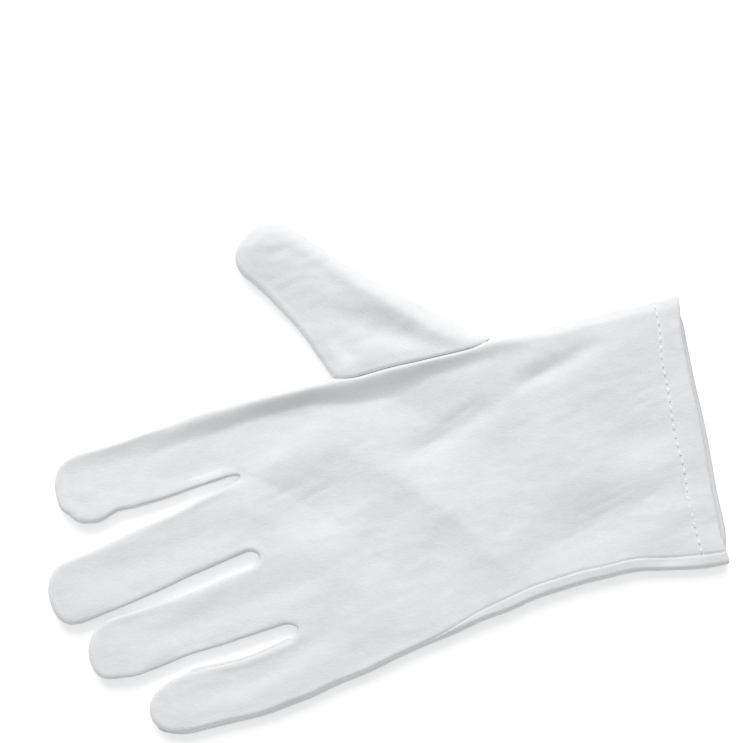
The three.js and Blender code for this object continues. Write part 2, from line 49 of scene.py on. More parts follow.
# %% [markdown]
# ## The camera
# The glove is looked at from high above, about 75 degrees over the table, with a long lens, so its outline is
# hardly distorted. The picture's upward direction runs nearly along the glove's width. The camera is set by
# the point of the table that it looks at, its distance and that direction.

# %% Camera
LENS_MM, SENSOR_MM = 85.0, 36.0
LOOKED_AT = Vector((0.02213, -0.00844, 0.0))  # metres
DISTANCE = 0.62333  # metres
ELEVATION = np.radians(75)
ACROSS_TURN = np.radians(14)  # the picture's upward direction, turned from +X towards the cuff


def add_camera():
    """Camera at target + distance x (the unit vector leaning back from straight up by 15 degrees)."""
    up_flat = Vector((np.cos(ACROSS_TURN), -np.sin(ACROSS_TURN), 0))
    back = -up_flat * np.cos(ELEVATION) + Vector((0, 0, np.sin(ELEVATION)))
    up = up_flat * np.sin(ELEVATION) + Vector((0, 0, np.cos(ELEVATION)))
    right = up.cross(back)
    camera = bpy.data.objects.new("camera", bpy.data.cameras.new("camera"))
    bpy.context.scene.collection.objects.link(camera)
    turn = Matrix((right, up, back)).transposed()
    camera.matrix_world = Matrix.Translation(LOOKED_AT + back * DISTANCE) @ turn.to_4x4()
    camera.data.lens = LENS_MM
    camera.data.sensor_width = SENSOR_MM
    bpy.context.scene.camera = camera
    return camera


camera = add_camera()
print("camera at", [round(c, 4) for c in camera.location])

# %% [markdown]
# ## The flat pattern's sizes
# These are the sizes that a cutter would mark on the cloth, in millimetres, with the index edge along x = 0
# and the cuff's corner at y = 0. The hand reaches to -x and the fingers to +y. They repeat the sizes of the
# solid parts, so that the dressed glove fills the same outline.

# %% Pattern sizes
MM = 0.001
SHIFT = np.array([22.9314, -118.7385, 0.0])  # from the pattern's corner to the part's own origin

PALM_LENGTH, KNUCKLE_WIDTH, WRIST_WIDTH, CUFF_WIDTH = 165.0, 107.0, 90.8, 97.6
WRIST_AT, CUFF_SLANT, WIDTH_POWER = 58.0, 10.0, 1.3
FINGER_LENGTH, FINGER_WIDTH = 73.0, 24.0
EDGE_HEIGHT, STRIP_HEIGHT = 3.0, 3.2
FORK_ROUND = 4.0  # length over which a fork's round end opens
TIP_TURN = np.pi / 4  # where the sides of a finger's end meet its cap

# Base is a share of KNUCKLE_WIDTH, and reach, lean and bow are shares of FINGER_LENGTH. Drop and fork belong
# to the fork beyond the finger: how far it lies below the first one, a share of PALM_LENGTH, and half its
# width. Fork, and the width and length (tip) of the rounded end, are shares of FINGER_WIDTH. Square is how
# square that end is, 2 being round.
FINGER_COLUMNS = ("base", "drop", "fork", "reach", "lean", "bow", "width", "tip", "square")
FINGERS = {
    "index": (0.2555, 0.0, 0.035, 0.86, 0.072, 0.0, 1.04, 0.55, 2.6),
    "middle": (0.261, 0.0, 0.095, 0.99, 0.182, 0.0, 0.94, 0.58, 2.2),
    "ring": (0.268, 0.042, 0.1, 0.862, 0.085, 0.006, 0.89, 0.56, 2.2),
    "little": (0.2155, 0.042, 0.0, 0.645, 0.064, 0.02, 0.81, 0.6, 2.2),
}
ROWS = [dict(zip(FINGER_COLUMNS, row)) for row in FINGERS.values()]
print("fingers:", ", ".join(FINGERS))

# %% [markdown]
# ## Blends used by every piece
# Cloth has no sharp change of height, so almost every size fades into the next through the same few curves.
# The most important one is the rolled edge: steep where back and palm meet, then level.

# %% Blends
EDGE_FULL_POWER, EDGE_STEEP_POWER = 2.2, 0.6


def clamp(t):
    """t, held between 0 and 1."""
    return np.clip(t, 0.0, 1.0)


def mix(a, b, t):
    """a at t = 0 and b at t = 1, in a straight line."""
    return a * (1 - t) + b * t


def smooth(t):
    """3t^2 - 2t^3 between 0 and 1."""
    t = clamp(t)
    return t * t * (3 - 2 * t)


def ease(t):
    """1 - (1 - t)^2: quick at first, then slower."""
    return 1 - (1 - clamp(t)) ** 2


def round_over(t):
    """(1 - (1 - t)^2.2)^0.6: a rolled edge, upright at t = 0 and level at t = 1."""
    return (1 - (1 - clamp(t)) ** EDGE_FULL_POWER) ** EDGE_STEEP_POWER


print("a rolled edge, from seam to level:", round_over(np.linspace(0, 1, 5)).round(2))

# %% [markdown]
# ## Lanes of the hand
# The hand is a strip that narrows at the wrist and widens to the knuckles. Lines from the cuff to the forks
# divide it into four lanes, one below each finger, so that one grid can run from the cuff to each fingertip.

# %% Lanes
SHARES = np.concatenate([[0], np.cumsum([row["base"] for row in ROWS])])


def hand_width(y):
    """Flared cuff to wrist by a smooth blend, then wrist to knuckles by the 1.3rd power of the distance."""
    flared = mix(CUFF_WIDTH, WRIST_WIDTH, smooth(y / WRIST_AT))
    past_wrist = clamp((y - WRIST_AT) / (PALM_LENGTH - WRIST_AT)) ** WIDTH_POWER
    return np.where(y < WRIST_AT, flared, mix(WRIST_WIDTH, KNUCKLE_WIDTH, past_wrist))


def fork_half(k):
    """Half the width of the fork on lane border k, and 0 on the hand's two edges."""
    return ROWS[k - 1]["fork"] * FINGER_WIDTH if 0 < k < 4 else 0.0


def border(k, v, trim=0.0):
    """Lane border k at share v of the palm: x = -width x share, y from the slanted cuff to the fork."""
    share = SHARES[k] / SHARES[-1]
    top = PALM_LENGTH * (1 - ROWS[max(0, k - 1)]["drop"])
    y = mix(CUFF_SLANT * share, top, v)
    x = -hand_width(y) * share + (trim if k == 4 else 0.0)
    return np.stack(np.broadcast_arrays(x, y), -1)


print("hand's width at cuff, wrist and knuckles:", hand_width(np.array([0, WRIST_AT, PALM_LENGTH])).round(1))

# %% [markdown]
# ## Fingers
# A finger starts where its lane ends, narrows into its straight part beside a U-shaped fork, and ends in a
# superellipse, which can be made rounder or squarer by one number. An arc would need several radii for the
# same blunt tip.

# %% Fingers
FINGER_TURN = 0.6  # share of the straight part over which its cross rows turn square to it


def finger_frame(lane):
    """The finger's straight line from the middle of its base to its tip, less the rounded end."""
    row = ROWS[lane]
    start = (border(lane, 1.0) + border(lane + 1, 1.0)) / 2
    apex = np.array([start[0] - row["lean"] * FINGER_LENGTH, PALM_LENGTH + row["reach"] * FINGER_LENGTH])
    length = np.hypot(*(apex - start))
    axis = (apex - start) / length
    tip = row["tip"] * FINGER_WIDTH
    return {
        "axis": axis, "across": np.array([axis[1], -axis[0]]), "end": apex - axis * tip,
        "tip": tip, "length": length - tip, "half": row["width"] * FINGER_WIDTH / 2,
        "bow": row["bow"] * FINGER_LENGTH, "square": row["square"],
    }


FRAMES = [finger_frame(lane) for lane in range(4)]


def rounded_end(line, s, turn, trim=0.0):
    """Superellipse: across = s cos^p, along = sin^p, with the cap's bulge blended in as the turn closes."""
    power = 2 / line["square"]
    wide, high = np.cos(turn) ** power, np.sin(turn) ** power
    cap = np.maximum(1 - np.abs(s * wide) ** line["square"], 0) ** (1 / line["square"])
    along = line["tip"] * (high + smooth(turn / TIP_TURN) * (cap - high))
    aside = s * wide * (line["half"] - np.where(s < 0, trim, 0.0))
    return line["end"] + along[..., None] * line["axis"] + aside[..., None] * line["across"]


def finger_side(lane, k, sign, t, trim):
    """Side of the straight part: the base's half width eases to the finger's, less the fork's rounded cut."""
    line = FRAMES[lane]
    right, left = border(lane, 1.0, trim), border(lane + 1, 1.0, trim)
    base = np.linalg.norm(right - left, axis=-1) / 2
    free, half = k in (0, 4), fork_half(k)
    cut = 0.0 if free else half * round_over(t * line["length"] / FORK_ROUND)
    wide = mix(base, line["half"] - (trim if k == 4 else 0.0) + half, ease(t)) - cut
    flat = (right - left) / (2 * base[..., None])
    across = mix(flat, line["across"], smooth(t / FINGER_TURN)[..., None])
    across = across / np.linalg.norm(across, axis=-1, keepdims=True)
    centre = mix((right + left) / 2, line["end"], t[..., None])
    aside = sign * wide - line["bow"] * np.sin(np.pi * t)
    return centre + across * aside[..., None]


def plan(lane, u, v, trim=0.0):
    """Place on the table: u across the lane, v 0 to 1 up the palm, to 2 up the finger, to 3 round its end.

    The trim takes the little finger's outer edge that much further in.
    """
    u, v, trim = np.broadcast_arrays(np.asarray(u, float), np.asarray(v, float), np.asarray(trim, float))
    low, t, end = np.minimum(v, 1), clamp(v - 1), clamp(v - 2)
    palm = mix(border(lane, low, trim), border(lane + 1, low, trim), u[..., None])
    sides = finger_side(lane, lane, 1, t, trim), finger_side(lane, lane + 1, -1, t, trim)
    shaft = mix(sides[0], sides[1], u[..., None])
    tip = rounded_end(FRAMES[lane], 1 - 2 * u, end * TIP_TURN, trim if lane == 3 else 0.0)
    return np.where(v[..., None] <= 1, palm, np.where(v[..., None] <= 2, shaft, tip))


print("finger lengths in mm:", [round(float(f["length"] + f["tip"]), 1) for f in FRAMES])

# %% [markdown]
# ## Distance in from the edge
# The height of the cloth depends on how far a point lies inside the outline, so the outline is kept as one
# long line, from the cuff up the index side, round every finger and back. A mesh tool could give that
# distance one vertex at a time, but whole arrays are far quicker.

# %% Outline
HEM_ROWS = np.linspace(7.0, 11.8, 13) / PALM_LENGTH  # closer rows, which the stitched groove needs
ROW_GAP = 0.003  # least gap between those and the other rows, as a share of the palm
SAME_PLACE = 0.02  # millimetres
AT_ONCE = 1500  # points that are measured in one go, to spare memory
TIP_EDGE = 2.999  # from here on v counts as the tip's own edge

# Rows up the palm, up the finger and round its end. They crowd towards the forks and the tip.
palm_v = 1 - np.linspace(1, 0, 171) ** 1.25
below, above = palm_v < HEM_ROWS[0] - ROW_GAP, palm_v > HEM_ROWS[-1] + ROW_GAP
PALM_V = np.concatenate([palm_v[below], HEM_ROWS, palm_v[above]])
SHAFT_V = 1 + np.linspace(0, 1, 67)[1:] ** 1.35
TIP_V = 3 - np.linspace(1, 0, 23)[1:] ** 0.9
LANE_V = np.concatenate([PALM_V, SHAFT_V, TIP_V])
ACROSS = np.linspace(0, 1, 61)


def hand_outline():
    """Index edge, then each finger up, over and down, then the little finger edge back to the cuff."""
    up = np.concatenate([[1.0], SHAFT_V, TIP_V])
    parts = [plan(0, 0.0, PALM_V)]
    for lane in range(4):
        parts += [plan(lane, 0.0, up), plan(lane, ACROSS, 3.0), plan(lane, 1.0, up[::-1])]
    parts.append(plan(3, 1.0, PALM_V[::-1]))
    line = np.concatenate(parts)
    keep = np.concatenate([[True], np.linalg.norm(np.diff(line, axis=0), axis=1) > SAME_PLACE])
    return line[keep]


OUTLINE = hand_outline()


def nearest(line, points):
    """Distance from each point to a line, and the unit vector to the left of its run, which is inwards."""
    a, step = line[:-1], np.diff(line, axis=0)
    left = np.stack([-step[:, 1], step[:, 0]], -1) / np.linalg.norm(step, axis=1, keepdims=True)
    flat = points.reshape(-1, 2)
    away, inward = np.empty(len(flat)), np.empty((len(flat), 2))
    for part in np.array_split(np.arange(len(flat)), max(1, len(flat) // AT_ONCE)):
        gap = flat[part, None] - a
        t = clamp((gap * step).sum(-1) / (step * step).sum(-1))
        square = ((gap - t[..., None] * step) ** 2).sum(-1)
        best = square.argmin(1)
        away[part], inward[part] = np.sqrt(square[np.arange(len(part)), best]), left[best]
    return away.reshape(points.shape[:-1]), inward.reshape(points.shape)


def inset(places, v):
    """Distance in from the outline, exactly 0 along the tips' own edge."""
    d, inward = nearest(OUTLINE, places)
    return np.where(v > TIP_EDGE, 0.0, d), inward


print("outline points:", len(OUTLINE))

# %% [markdown]
# ## Folds
# A glove that has been worn and laid down keeps soft hollows and ridges: a deep valley behind the index edge,
# a broad ridge across the back, hollows along the fingers and over the wrist. Each is drawn as a line of
# points with a half width and a rise that change along it, so that it fades in and out. Sculpting would do as
# well, but a table can be corrected line by line.

# %% Folds of the back
# Each fold: how crested it is (2 a soft hollow, 1 a crest), then points of x, y, half width and rise.
BACK_FOLDS = [
    (2, (-1.8, 208, 1.5, 0), (-1.8, 150, 1.7, 0.8), (-1.8, 130, 1.7, 1.0), (-2.4, 66, 1.9, 0.8),
        (-2.6, 50, 2, 0)),
    (2, (-21, 68, 3, 0), (-18.2, 59, 3.6, -1.1), (-15.4, 49, 3.8, -1.6), (-12.8, 38, 3.2, -1.0),
        (-11, 30, 2.6, 0)),
    (1, (-16, 140, 9, 0), (-28, 127, 12, 0.9), (-42, 111, 12, 2.7), (-57, 98, 12, 2.8), (-75, 87, 10, 1.6),
        (-85, 82, 8, 0)),
    (2, (-51, 232, 4.5, 0), (-49, 212, 5.5, -0.7), (-47, 192, 6.5, -0.8), (-44.5, 172, 7.5, -1.0),
        (-46, 150, 9.5, -1.6), (-43, 134, 8.5, -1.2), (-39, 118, 6, 0)),
    (2, (-17, 108, 8, 0), (-20, 124, 9, 1.0), (-24.5, 140, 9, 1.2), (-27.5, 154, 6, 0.8), (-29, 166, 4, 0)),
    (2, (-33, 115, 4, 0), (-32.4, 102, 4.6, -1.1), (-30, 92, 4.6, -1.2), (-25.5, 79, 4.4, -1.0),
        (-21, 66, 3.6, 0)),
    (2, (-78, 82, 6, 0), (-75, 64, 7, -0.7), (-72, 47, 7, -0.8), (-69.5, 31, 6.5, -0.8), (-68, 16, 5, 0)),
    (2, (-64, 76, 6, 0), (-59, 60, 7.5, 0.7), (-56, 45, 7.5, 0.7), (-55, 30, 7, 0.4), (-54, 16, 5, 0)),
    (2, (-52, 38, 6, 0), (-48, 28, 8, -1.1), (-46, 16, 8, -1.0), (-45, 6, 6, 0)),
    (2, (-75, 216, 4, 0), (-72.5, 198, 4.6, -0.7), (-70.5, 180, 5, -0.8), (-69, 160, 5.6, -0.5),
        (-66.5, 145, 5.6, -0.3), (-63, 132, 5, 0)),
    (2, (-98, 203, 3, 0), (-96.4, 186, 4, -0.7), (-93, 168, 4.4, -1.0), (-89, 152, 4.4, -0.8),
        (-86, 139, 4.4, 0)),
    (2, (-20, 222, 2.2, 0), (-23.5, 219, 2.4, -0.4), (-26, 214, 2.4, 0)),
    # Fine creases, about two millimetres wide, where the cloth is pulled along the hollows.
    (2, (-76, 66, 0.9, 0), (-73, 54, 1.0, -0.16), (-71, 44, 0.9, 0)),
    (2, (-72, 60, 0.9, 0), (-69.5, 47, 1.0, -0.2), (-66.5, 34, 0.9, 0)),
    (2, (-67.5, 54, 0.9, 0), (-65.5, 42, 1.0, -0.16), (-62.5, 30, 0.9, 0)),
    (2, (-70, 40, 0.9, 0), (-68, 31, 1.0, -0.15), (-66.5, 25, 0.9, 0)),
    (2, (-33.5, 108, 0.9, 0), (-31, 97, 1.0, -0.2), (-26.5, 86, 0.9, 0)),
    (2, (-29, 101, 0.9, 0), (-25.5, 89, 1.0, -0.16), (-22, 79, 0.9, 0)),
    (2, (-26, 92, 0.9, 0), (-22.5, 82, 1.0, -0.14), (-19.5, 74, 0.9, 0)),
    (2, (-39, 166, 0.9, 0), (-36.5, 153, 1.0, -0.16), (-34, 141, 0.9, 0)),
    (2, (-42, 152, 0.9, 0), (-39, 141, 1.0, -0.16), (-36.5, 131, 0.9, 0)),
    (2, (-20, 66, 0.9, 0), (-17.5, 56, 1.1, -0.22), (-15, 47, 0.9, 0)),
    (2, (-38, 30, 0.9, 0), (-36.5, 24, 1.0, -0.18), (-35.5, 18, 0.9, 0)),
    (2, (-33, 29, 0.9, 0), (-32, 22, 1.0, -0.18), (-31, 16, 0.9, 0)),
    (2, (-9, 160, 0.9, 0), (-10, 146, 1.0, -0.2), (-12, 132, 0.9, 0)),
]

# The step behind the index edge: y, depth, and the width over which the cloth goes down.
INDEX_STEP = [(54, 0, 8), (66, 1.6, 7.5), (78, 3.1, 7.5), (92, 4.4, 8), (108, 6.0, 12.5), (122, 6.1, 13),
              (134, 5.2, 8.5), (148, 4.8, 8.5), (168, 3.9, 9.5), (188, 3.0, 11), (206, 2.4, 11),
              (222, 1.6, 11), (232, 0, 11)]
ON_THE_LINE = 0.02  # keeps a part's share finite where the distance to it is 0


def fold_lift(x, y, folds):
    """Sum over folds of rise x exp(-(distance / half width)^power).

    The parts of one fold's line take shares by (distance^2)^-3, so that its bends stay round.
    """
    total = np.zeros_like(x)
    for power, *points in folds:
        weights, lift = np.zeros_like(x), np.zeros_like(x)
        for (ax, ay, aw, ar), (bx, by, bw, br) in zip(points[:-1], points[1:]):
            t = clamp(((x - ax) * (bx - ax) + (y - ay) * (by - ay)) / ((bx - ax) ** 2 + (by - ay) ** 2))
            distance = np.hypot(x - mix(ax, bx, t), y - mix(ay, by, t))
            away = (distance / mix(aw, bw, t)) ** 2 + ON_THE_LINE
            lift += mix(ar, br, t) * np.exp(-(away ** (power / 2))) * away**-3
            weights += away**-3
        total += lift / weights
    return total


print("folds on the back:", len(BACK_FOLDS))

# %% [markdown]
# ## Slack in the cloth
# Between the folds nothing is quite flat, and no edge is quite straight. A few dozen waves with seeded
# directions are added up. The same sideways waves move every piece, so the seams stay together, and the
# upward waves move only the cloth that lies free.

# %% Slack
seeded = np.random.default_rng(11)
SWAY_MM = 0.3


def make_waves(count, shortest, longest, spread):
    """Each wave's vector is 2 pi / length long and turned from +X by up to the spread, in radians."""
    length = np.exp(seeded.uniform(np.log(shortest), np.log(longest), count))
    turn = seeded.uniform(-spread, spread, count)
    vector = 2 * np.pi / length[:, None] * np.stack([np.cos(turn), np.sin(turn)], -1)
    return {"vector": vector, "phase": seeded.uniform(0, 2 * np.pi, count), "length": length}


def ripple(points, waves):
    """Sum of length x sin(vector . place + phase), over the sum of lengths, times the root of the count."""
    flat = points.reshape(-1, 2)
    value = np.sin(flat @ waves["vector"].T + waves["phase"]) @ waves["length"]
    return (value / waves["length"].sum() * np.sqrt(len(waves["length"]))).reshape(points.shape[:-1])


SWAY_X, SWAY_Y = make_waves(14, 14, 60, np.pi), make_waves(14, 14, 60, np.pi)
SLACK = make_waves(20, 14, 46, np.pi)
CREPE = make_waves(36, 3.5, 9, 0.5)

# Where a fingertip is pulled out to a blunt corner or drawn in: x, y, radius, and the pull along x and y.
PULLS = [
    (-28, 226.5, 4.2, 1.9, -1.2), (-31.5, 215, 3.3, -1.0, -0.3), (-29.5, 207.5, 3.4, 0.8, 0),
    (-10, 230, 5, 1.0, -1.2), (-44, 233, 5, 0.6, 0.5), (-82, 224, 4.5, -0.6, 0.5),
    (-85, 213, 4, -0.6, -0.2), (-61, 233, 5, -0.6, 0.2),
]


def sway(points):
    """Sideways move of every piece: slow waves of a few tenths of a millimetre, and the pulls at the tips."""
    moved = points + SWAY_MM * np.stack([ripple(points, SWAY_X), ripple(points, SWAY_Y)], -1)
    for x, y, radius, dx, dy in PULLS:
        near = np.exp(-((points[..., 0] - x) ** 2 + (points[..., 1] - y) ** 2) / radius**2)
        moved = moved + near[..., None] * np.array([dx, dy])
    return moved


print("waves in the free cloth:", len(SLACK["phase"]), "long and", len(CREPE["phase"]), "short")

# %% [markdown]
# ## Height of the upper cloth
# The cloth rises from its seam and levels out at a loft, which is lowest at the cuff and the fingers and
# highest over the palm.

# %% Lofts
CUFF_LOFT, HAND_LOFT, KNUCKLE_LOFT, FINGER_LOFT = 7.4, 10.4, 7.6, 6.8
LOFT_PEAK, FINGER_SETTLED, TIP_SHARE = 0.55, 0.5, 0.85


def loft_at(v):
    """Up from cuff to 0.55 of the palm, down to the knuckles at 1 and the finger at 1.5, less at the tip."""
    low = mix(CUFF_LOFT, HAND_LOFT, smooth(v / LOFT_PEAK))
    high = mix(HAND_LOFT, KNUCKLE_LOFT, smooth((v - LOFT_PEAK) / (1 - LOFT_PEAK)))
    finger = mix(KNUCKLE_LOFT, FINGER_LOFT, smooth((v - 1) / FINGER_SETTLED))
    finger = finger * mix(1, TIP_SHARE, smooth(v - 2))
    return np.where(v < LOFT_PEAK, low, np.where(v < 1, high, finger))


print("loft at cuff, palm, knuckle and finger:", loft_at(np.array([0, LOFT_PEAK, 1.0, 1.8])).round(2))

# %% [markdown]
# ## Height of the seams
# Back and palm meet three millimetres above the table. In the forks the side strip parts them, and beside
# the thumb the palm's edge drops to leave the thumb's hole. The strips lean under the fingers, so that they
# hardly show from above.

# %% Seams
THUMB_AT, THUMB_BASE, THUMB_ROUND, THUMB_LAP = 97.0, 57.0, 10.0, 3.2
THUMB_ROOT_FLOOR = 0.45
UNDER_ROUND = 5.0
STRIP_END = 0.92  # share of the finger's rounded end at which its strip has run out
FORK_LEAN = [0.4, 0.9, 0.9]  # at each fork
NEAR_LEAN = [0.2, 1.6, 1.6]  # index, middle and ring finger, on their side next to the little finger
FAR_LEAN = 1.6  # middle, ring and little finger, on their other side


def hole_open(y, fade):
    """How open the thumb's hole is: a rolled edge at either end, 1 in its middle."""
    return round_over((THUMB_BASE / 2 - np.abs(y - THUMB_AT)) / fade)


def strip_half(v):
    """Half the side strip's height, running out round the finger's end."""
    return STRIP_HEIGHT / 2 * (1 - smooth((v - 2) / STRIP_END))


def lean(lane, u, v):
    """How far in the strip's lower seam lies: the fork's lean, blended into the finger's along its side."""
    left = 0.0 if lane == 3 else mix(FORK_LEAN[lane], NEAR_LEAN[lane], smooth((v - 1) / 0.6))
    right = 0.0 if lane == 0 else mix(FORK_LEAN[lane - 1], FAR_LEAN, smooth((v - 1) / 0.3))
    return mix(right, left, u) * strip_half(v) / (STRIP_HEIGHT / 2)


def rim_rise(lane, u, v, y, side):
    """How far the panel's seam lies above (side 1) or below (side -1) the height where back and palm meet."""
    strip = strip_half(v)
    hole = (EDGE_HEIGHT - THUMB_ROOT_FLOOR) * hole_open(y, UNDER_ROUND)
    right = (0.0 if side > 0 else hole) if lane == 0 else strip
    left = 0.0 if lane == 3 else strip
    return mix(right, left, u)


print("half the strip's height, fork to tip:", strip_half(np.array([1.0, 2.0, 2.5, 3.0])).round(2))

# %% [markdown]
# ## The rolled edge
# Pressed flat, the cloth turns up in a tight roll at its seam and then crowns slowly. Only beside the thumb
# is the edge fuller. Behind the index edge the loft steps down. Folds and slack fade in from the edge.

# %% Rolled edge
TIGHT_RISE, TIGHT_ROLL, LIP_ROLL, FULL_ROLL = 3.0, 2.1, 1.5, 7.5
HAND_CROWN, FINGER_CROWN, INDEX_CROWN = 12.0, 9.0, 5.5
SLOPE_FROM, SLOPE_OVER, SLOPE_DROP = 0.12, 0.7, 0.55
STEP_FROM, BACK_FROM, BACK_OVER_HAND, BACK_OVER_FINGER = 1.5, 13.0, 90.0, 24.0
INDEX_FULLNESS, LEAST_RISE, LEAST_LOFT = 0.35, 1.0, 0.35
LIP_FADE_FROM, LIP_FADE_OVER = 0.52, 0.2  # where the side seam slips off the back, as shares of the palm
SLACK_MM, CREPE_MM, LOOSE_FROM = 0.28, 0.028, 4.0
SEAM_TUCK, TUCK_HEIGHT, TUCK_REACH = 0.55, 0.7, 3.0


def slope_share(v, place):
    """1 on the thumb's side, falling evenly to 0.45 at the little finger's side, and less on the fingers."""
    across = clamp(-place[..., 0] / hand_width(place[..., 1]))
    drop = SLOPE_DROP * clamp((across - SLOPE_FROM) / SLOPE_OVER)
    return 1 - drop * (1 - 0.4 * smooth((v - 0.7) / 0.5))


def rolled(d, loft, rim, full, crown, roll=TIGHT_ROLL):
    """Full edge: loft x round_over(d / 7.5). Thin edge: 2 or 3 mm of it in a tight roll, the rest a crown."""
    first = np.minimum(TIGHT_RISE - 0.75 * (rim - EDGE_HEIGHT), 0.9 * loft)
    thin = first * round_over(d / roll) + (loft - first) * smooth(d / crown)
    return mix(thin, loft * round_over(d / FULL_ROLL), full)


def index_step(x, y):
    """The cloth behind the index edge lies lower: down over the step's width, then slowly back up."""
    at_y, depth, width = np.array(INDEX_STEP).T
    down = smooth((-x - STEP_FROM) / np.interp(y, at_y, width))
    back_over = mix(BACK_OVER_HAND, BACK_OVER_FINGER, smooth((y - 110) / 65))
    return -np.interp(y, at_y, depth) * down * (1 - smooth((-x - BACK_FROM) / back_over))


def lip_fade(y):
    """0 where the side seam lies well in on the back, 1 where it has reached the edge."""
    return smooth((y / PALM_LENGTH - LIP_FADE_FROM) / LIP_FADE_OVER)


def upper_height(v, rim, d, place):
    """rim + rolled edge up to the loft less the index step + (folds + slack), faded in over 4 mm."""
    x, y = place[..., 0], place[..., 1]
    by_index, by_lip = smooth((x + 24) / 10), smooth((-x - 70) / 10) * (1 - lip_fade(y))
    loft = EDGE_HEIGHT + (loft_at(v) - EDGE_HEIGHT) * slope_share(v, place)
    loft = np.maximum(np.maximum(loft - rim, LEAST_RISE) + index_step(x, y), LEAST_LOFT)
    full = INDEX_FULLNESS * by_index * smooth((y - 30) / 40) * (1 - smooth((y - 160) / 40))
    crown = mix(mix(HAND_CROWN, FINGER_CROWN, smooth((v - 0.8) / 0.3)), INDEX_CROWN, by_index)
    loose = fold_lift(x, y, BACK_FOLDS) + SLACK_MM * ripple(place, SLACK) + CREPE_MM * ripple(place, CREPE)
    body = rim + rolled(d, loft, rim, full, crown, mix(TIGHT_ROLL, LIP_ROLL, by_lip))
    return body + loose * smooth(d / LOOSE_FROM)


def tucked(place, height, rim, d, inward):
    """Within 3 mm of a seam the cloth turns in by 0.55 mm x exp(-((height - rim) / 0.7)^2)."""
    pull = SEAM_TUCK * np.exp(-(((height - rim) / TUCK_HEIGHT) ** 2)) * (d < TUCK_REACH)
    return place + inward * pull[..., None]


across_palm = np.array([[-2.0, 95.0], [-10.0, 95.0], [-45.0, 95.0]])
heights = upper_height(np.full(3, 0.57), EDGE_HEIGHT, -across_palm[:, 0], across_palm)
print("height 2, 10 and 45 mm in from the index edge:", heights.round(1))

# %% [markdown]
# ## Making a mesh
# Every piece is a grid of points. The corners that two lanes share are merged, the wall gets its thickness
# inwards from a Solidify modifier, and the shading is smooth.

# %% Mesh from grids
MERGE_WITHIN = 1e-6  # metres
pieces = {}


def weld(mesh):
    """Merges corners that lie on each other, which also closes the seams between lanes."""
    work = bmesh.new()
    work.from_mesh(mesh)
    bmesh.ops.remove_doubles(work, verts=work.verts, dist=MERGE_WITHIN)
    bmesh.ops.dissolve_degenerate(work, edges=work.edges, dist=MERGE_WITHIN)
    work.to_mesh(mesh)
    work.free()


def add_piece(name, points, faces, welded=True):
    """A smooth mesh from pattern places in millimetres: swayed, moved to the part's origin, in metres."""
    points = (np.concatenate([sway(points[:, :2]), points[:, 2:]], -1) + SHIFT) * MM
    mesh = bpy.data.meshes.new(name)
    mesh.from_pydata(points.tolist(), [], faces.tolist())
    pieces[name] = bpy.data.objects.new(name, mesh)
    bpy.context.scene.collection.objects.link(pieces[name])
    if welded:
        weld(mesh)
    mesh.polygons.foreach_set("use_smooth", np.ones(len(mesh.polygons), bool))
    print(name, "faces:", len(mesh.polygons))
    return pieces[name]


def grid_quads(rows, columns, first, over):
    """Quads of a grid numbered row by row, turned over where the cloth faces down."""
    i, j = np.meshgrid(np.arange(rows - 1), np.arange(columns - 1), indexing="ij")
    a = (first + i * columns + j).ravel()
    quads = np.stack([a, a + columns, a + columns + 1, a + 1], -1)
    return quads[:, ::-1] if over else quads


def add_cloth(name, grids, wall, over=False):
    """One piece of cloth with its wall, from grids of places, each (rows, columns, 3)."""
    quads, first = [], 0
    for places, turned in zip(grids, np.broadcast_to(over, len(grids))):
        quads.append(grid_quads(places.shape[0], places.shape[1], first, turned))
        first += places.shape[0] * places.shape[1]
    piece = add_piece(name, np.concatenate([g.reshape(-1, 3) for g in grids]), np.concatenate(quads))
    thickness = piece.modifiers.new("wall", "SOLIDIFY")
    thickness.thickness, thickness.offset = wall * MM, -1


def with_height(place, height):
    """Places in space from places on the table and their heights."""
    return np.concatenate([place, height[..., None]], -1)


# %% [markdown]
# ## Columns that crowd at an edge
# A rolled edge turns within two millimetres, so it needs close columns, while the level cloth needs few.
# Equal columns would be far more faces for the same edge.

# %% Grid of a lane
EDGE_CROWD, PALM_CROWD, TIP_CROWD = 1.7, 1.9, 1.15


def crowd(s, left, right):
    """s^a / (s^a + (1 - s)^b): columns crowd towards an edge whose power is over 1."""
    return s**left / (s**left + (1 - s) ** right)


def lane_grid(lane, columns, v, power):
    """Rows v and columns u of one lane, crowded at the outline and evenly spaced inside the palm."""
    s, v = np.meshgrid(np.linspace(0, 1, columns), v)
    power = mix(power, TIP_CROWD, smooth(v - 2))
    inside = mix(1.0, power, smooth((v - 0.9) / 0.1))
    return crowd(s, power if lane == 0 else inside, power if lane == 3 else inside), v


print("first columns, crowded:", crowd(np.linspace(0, 1, 9), EDGE_CROWD, EDGE_CROWD)[:4].round(3))

# %% [markdown]
# ## The turned edge of the cuff
# At the cuff the cloth is folded in, so its edge is a round fold and not a cut. The first rows of both panels
# follow a quarter turn towards the hollow. "Inwards" is towards a core line in the middle of the hand.

# %% Cuff fold
FOLD_RADIUS = 0.9
fold_turn = np.radians(np.array([100, 80, 60, 40, 20]))
FOLD_V = FOLD_RADIUS / PALM_LENGTH * (1 - np.sin(fold_turn))
FOLD_IN = FOLD_RADIUS * (1 - np.cos(fold_turn))
FOLD_GAP = 0.002  # share of the palm between the fold's rows and the others
CORE_HEIGHT, CORE_INSET = 4.4, 9.0
SLIP_BACK, SLIP_PALM, SLIP_IN, SLIP_OVER = 1.3, -1.2, 14.0, 16.0


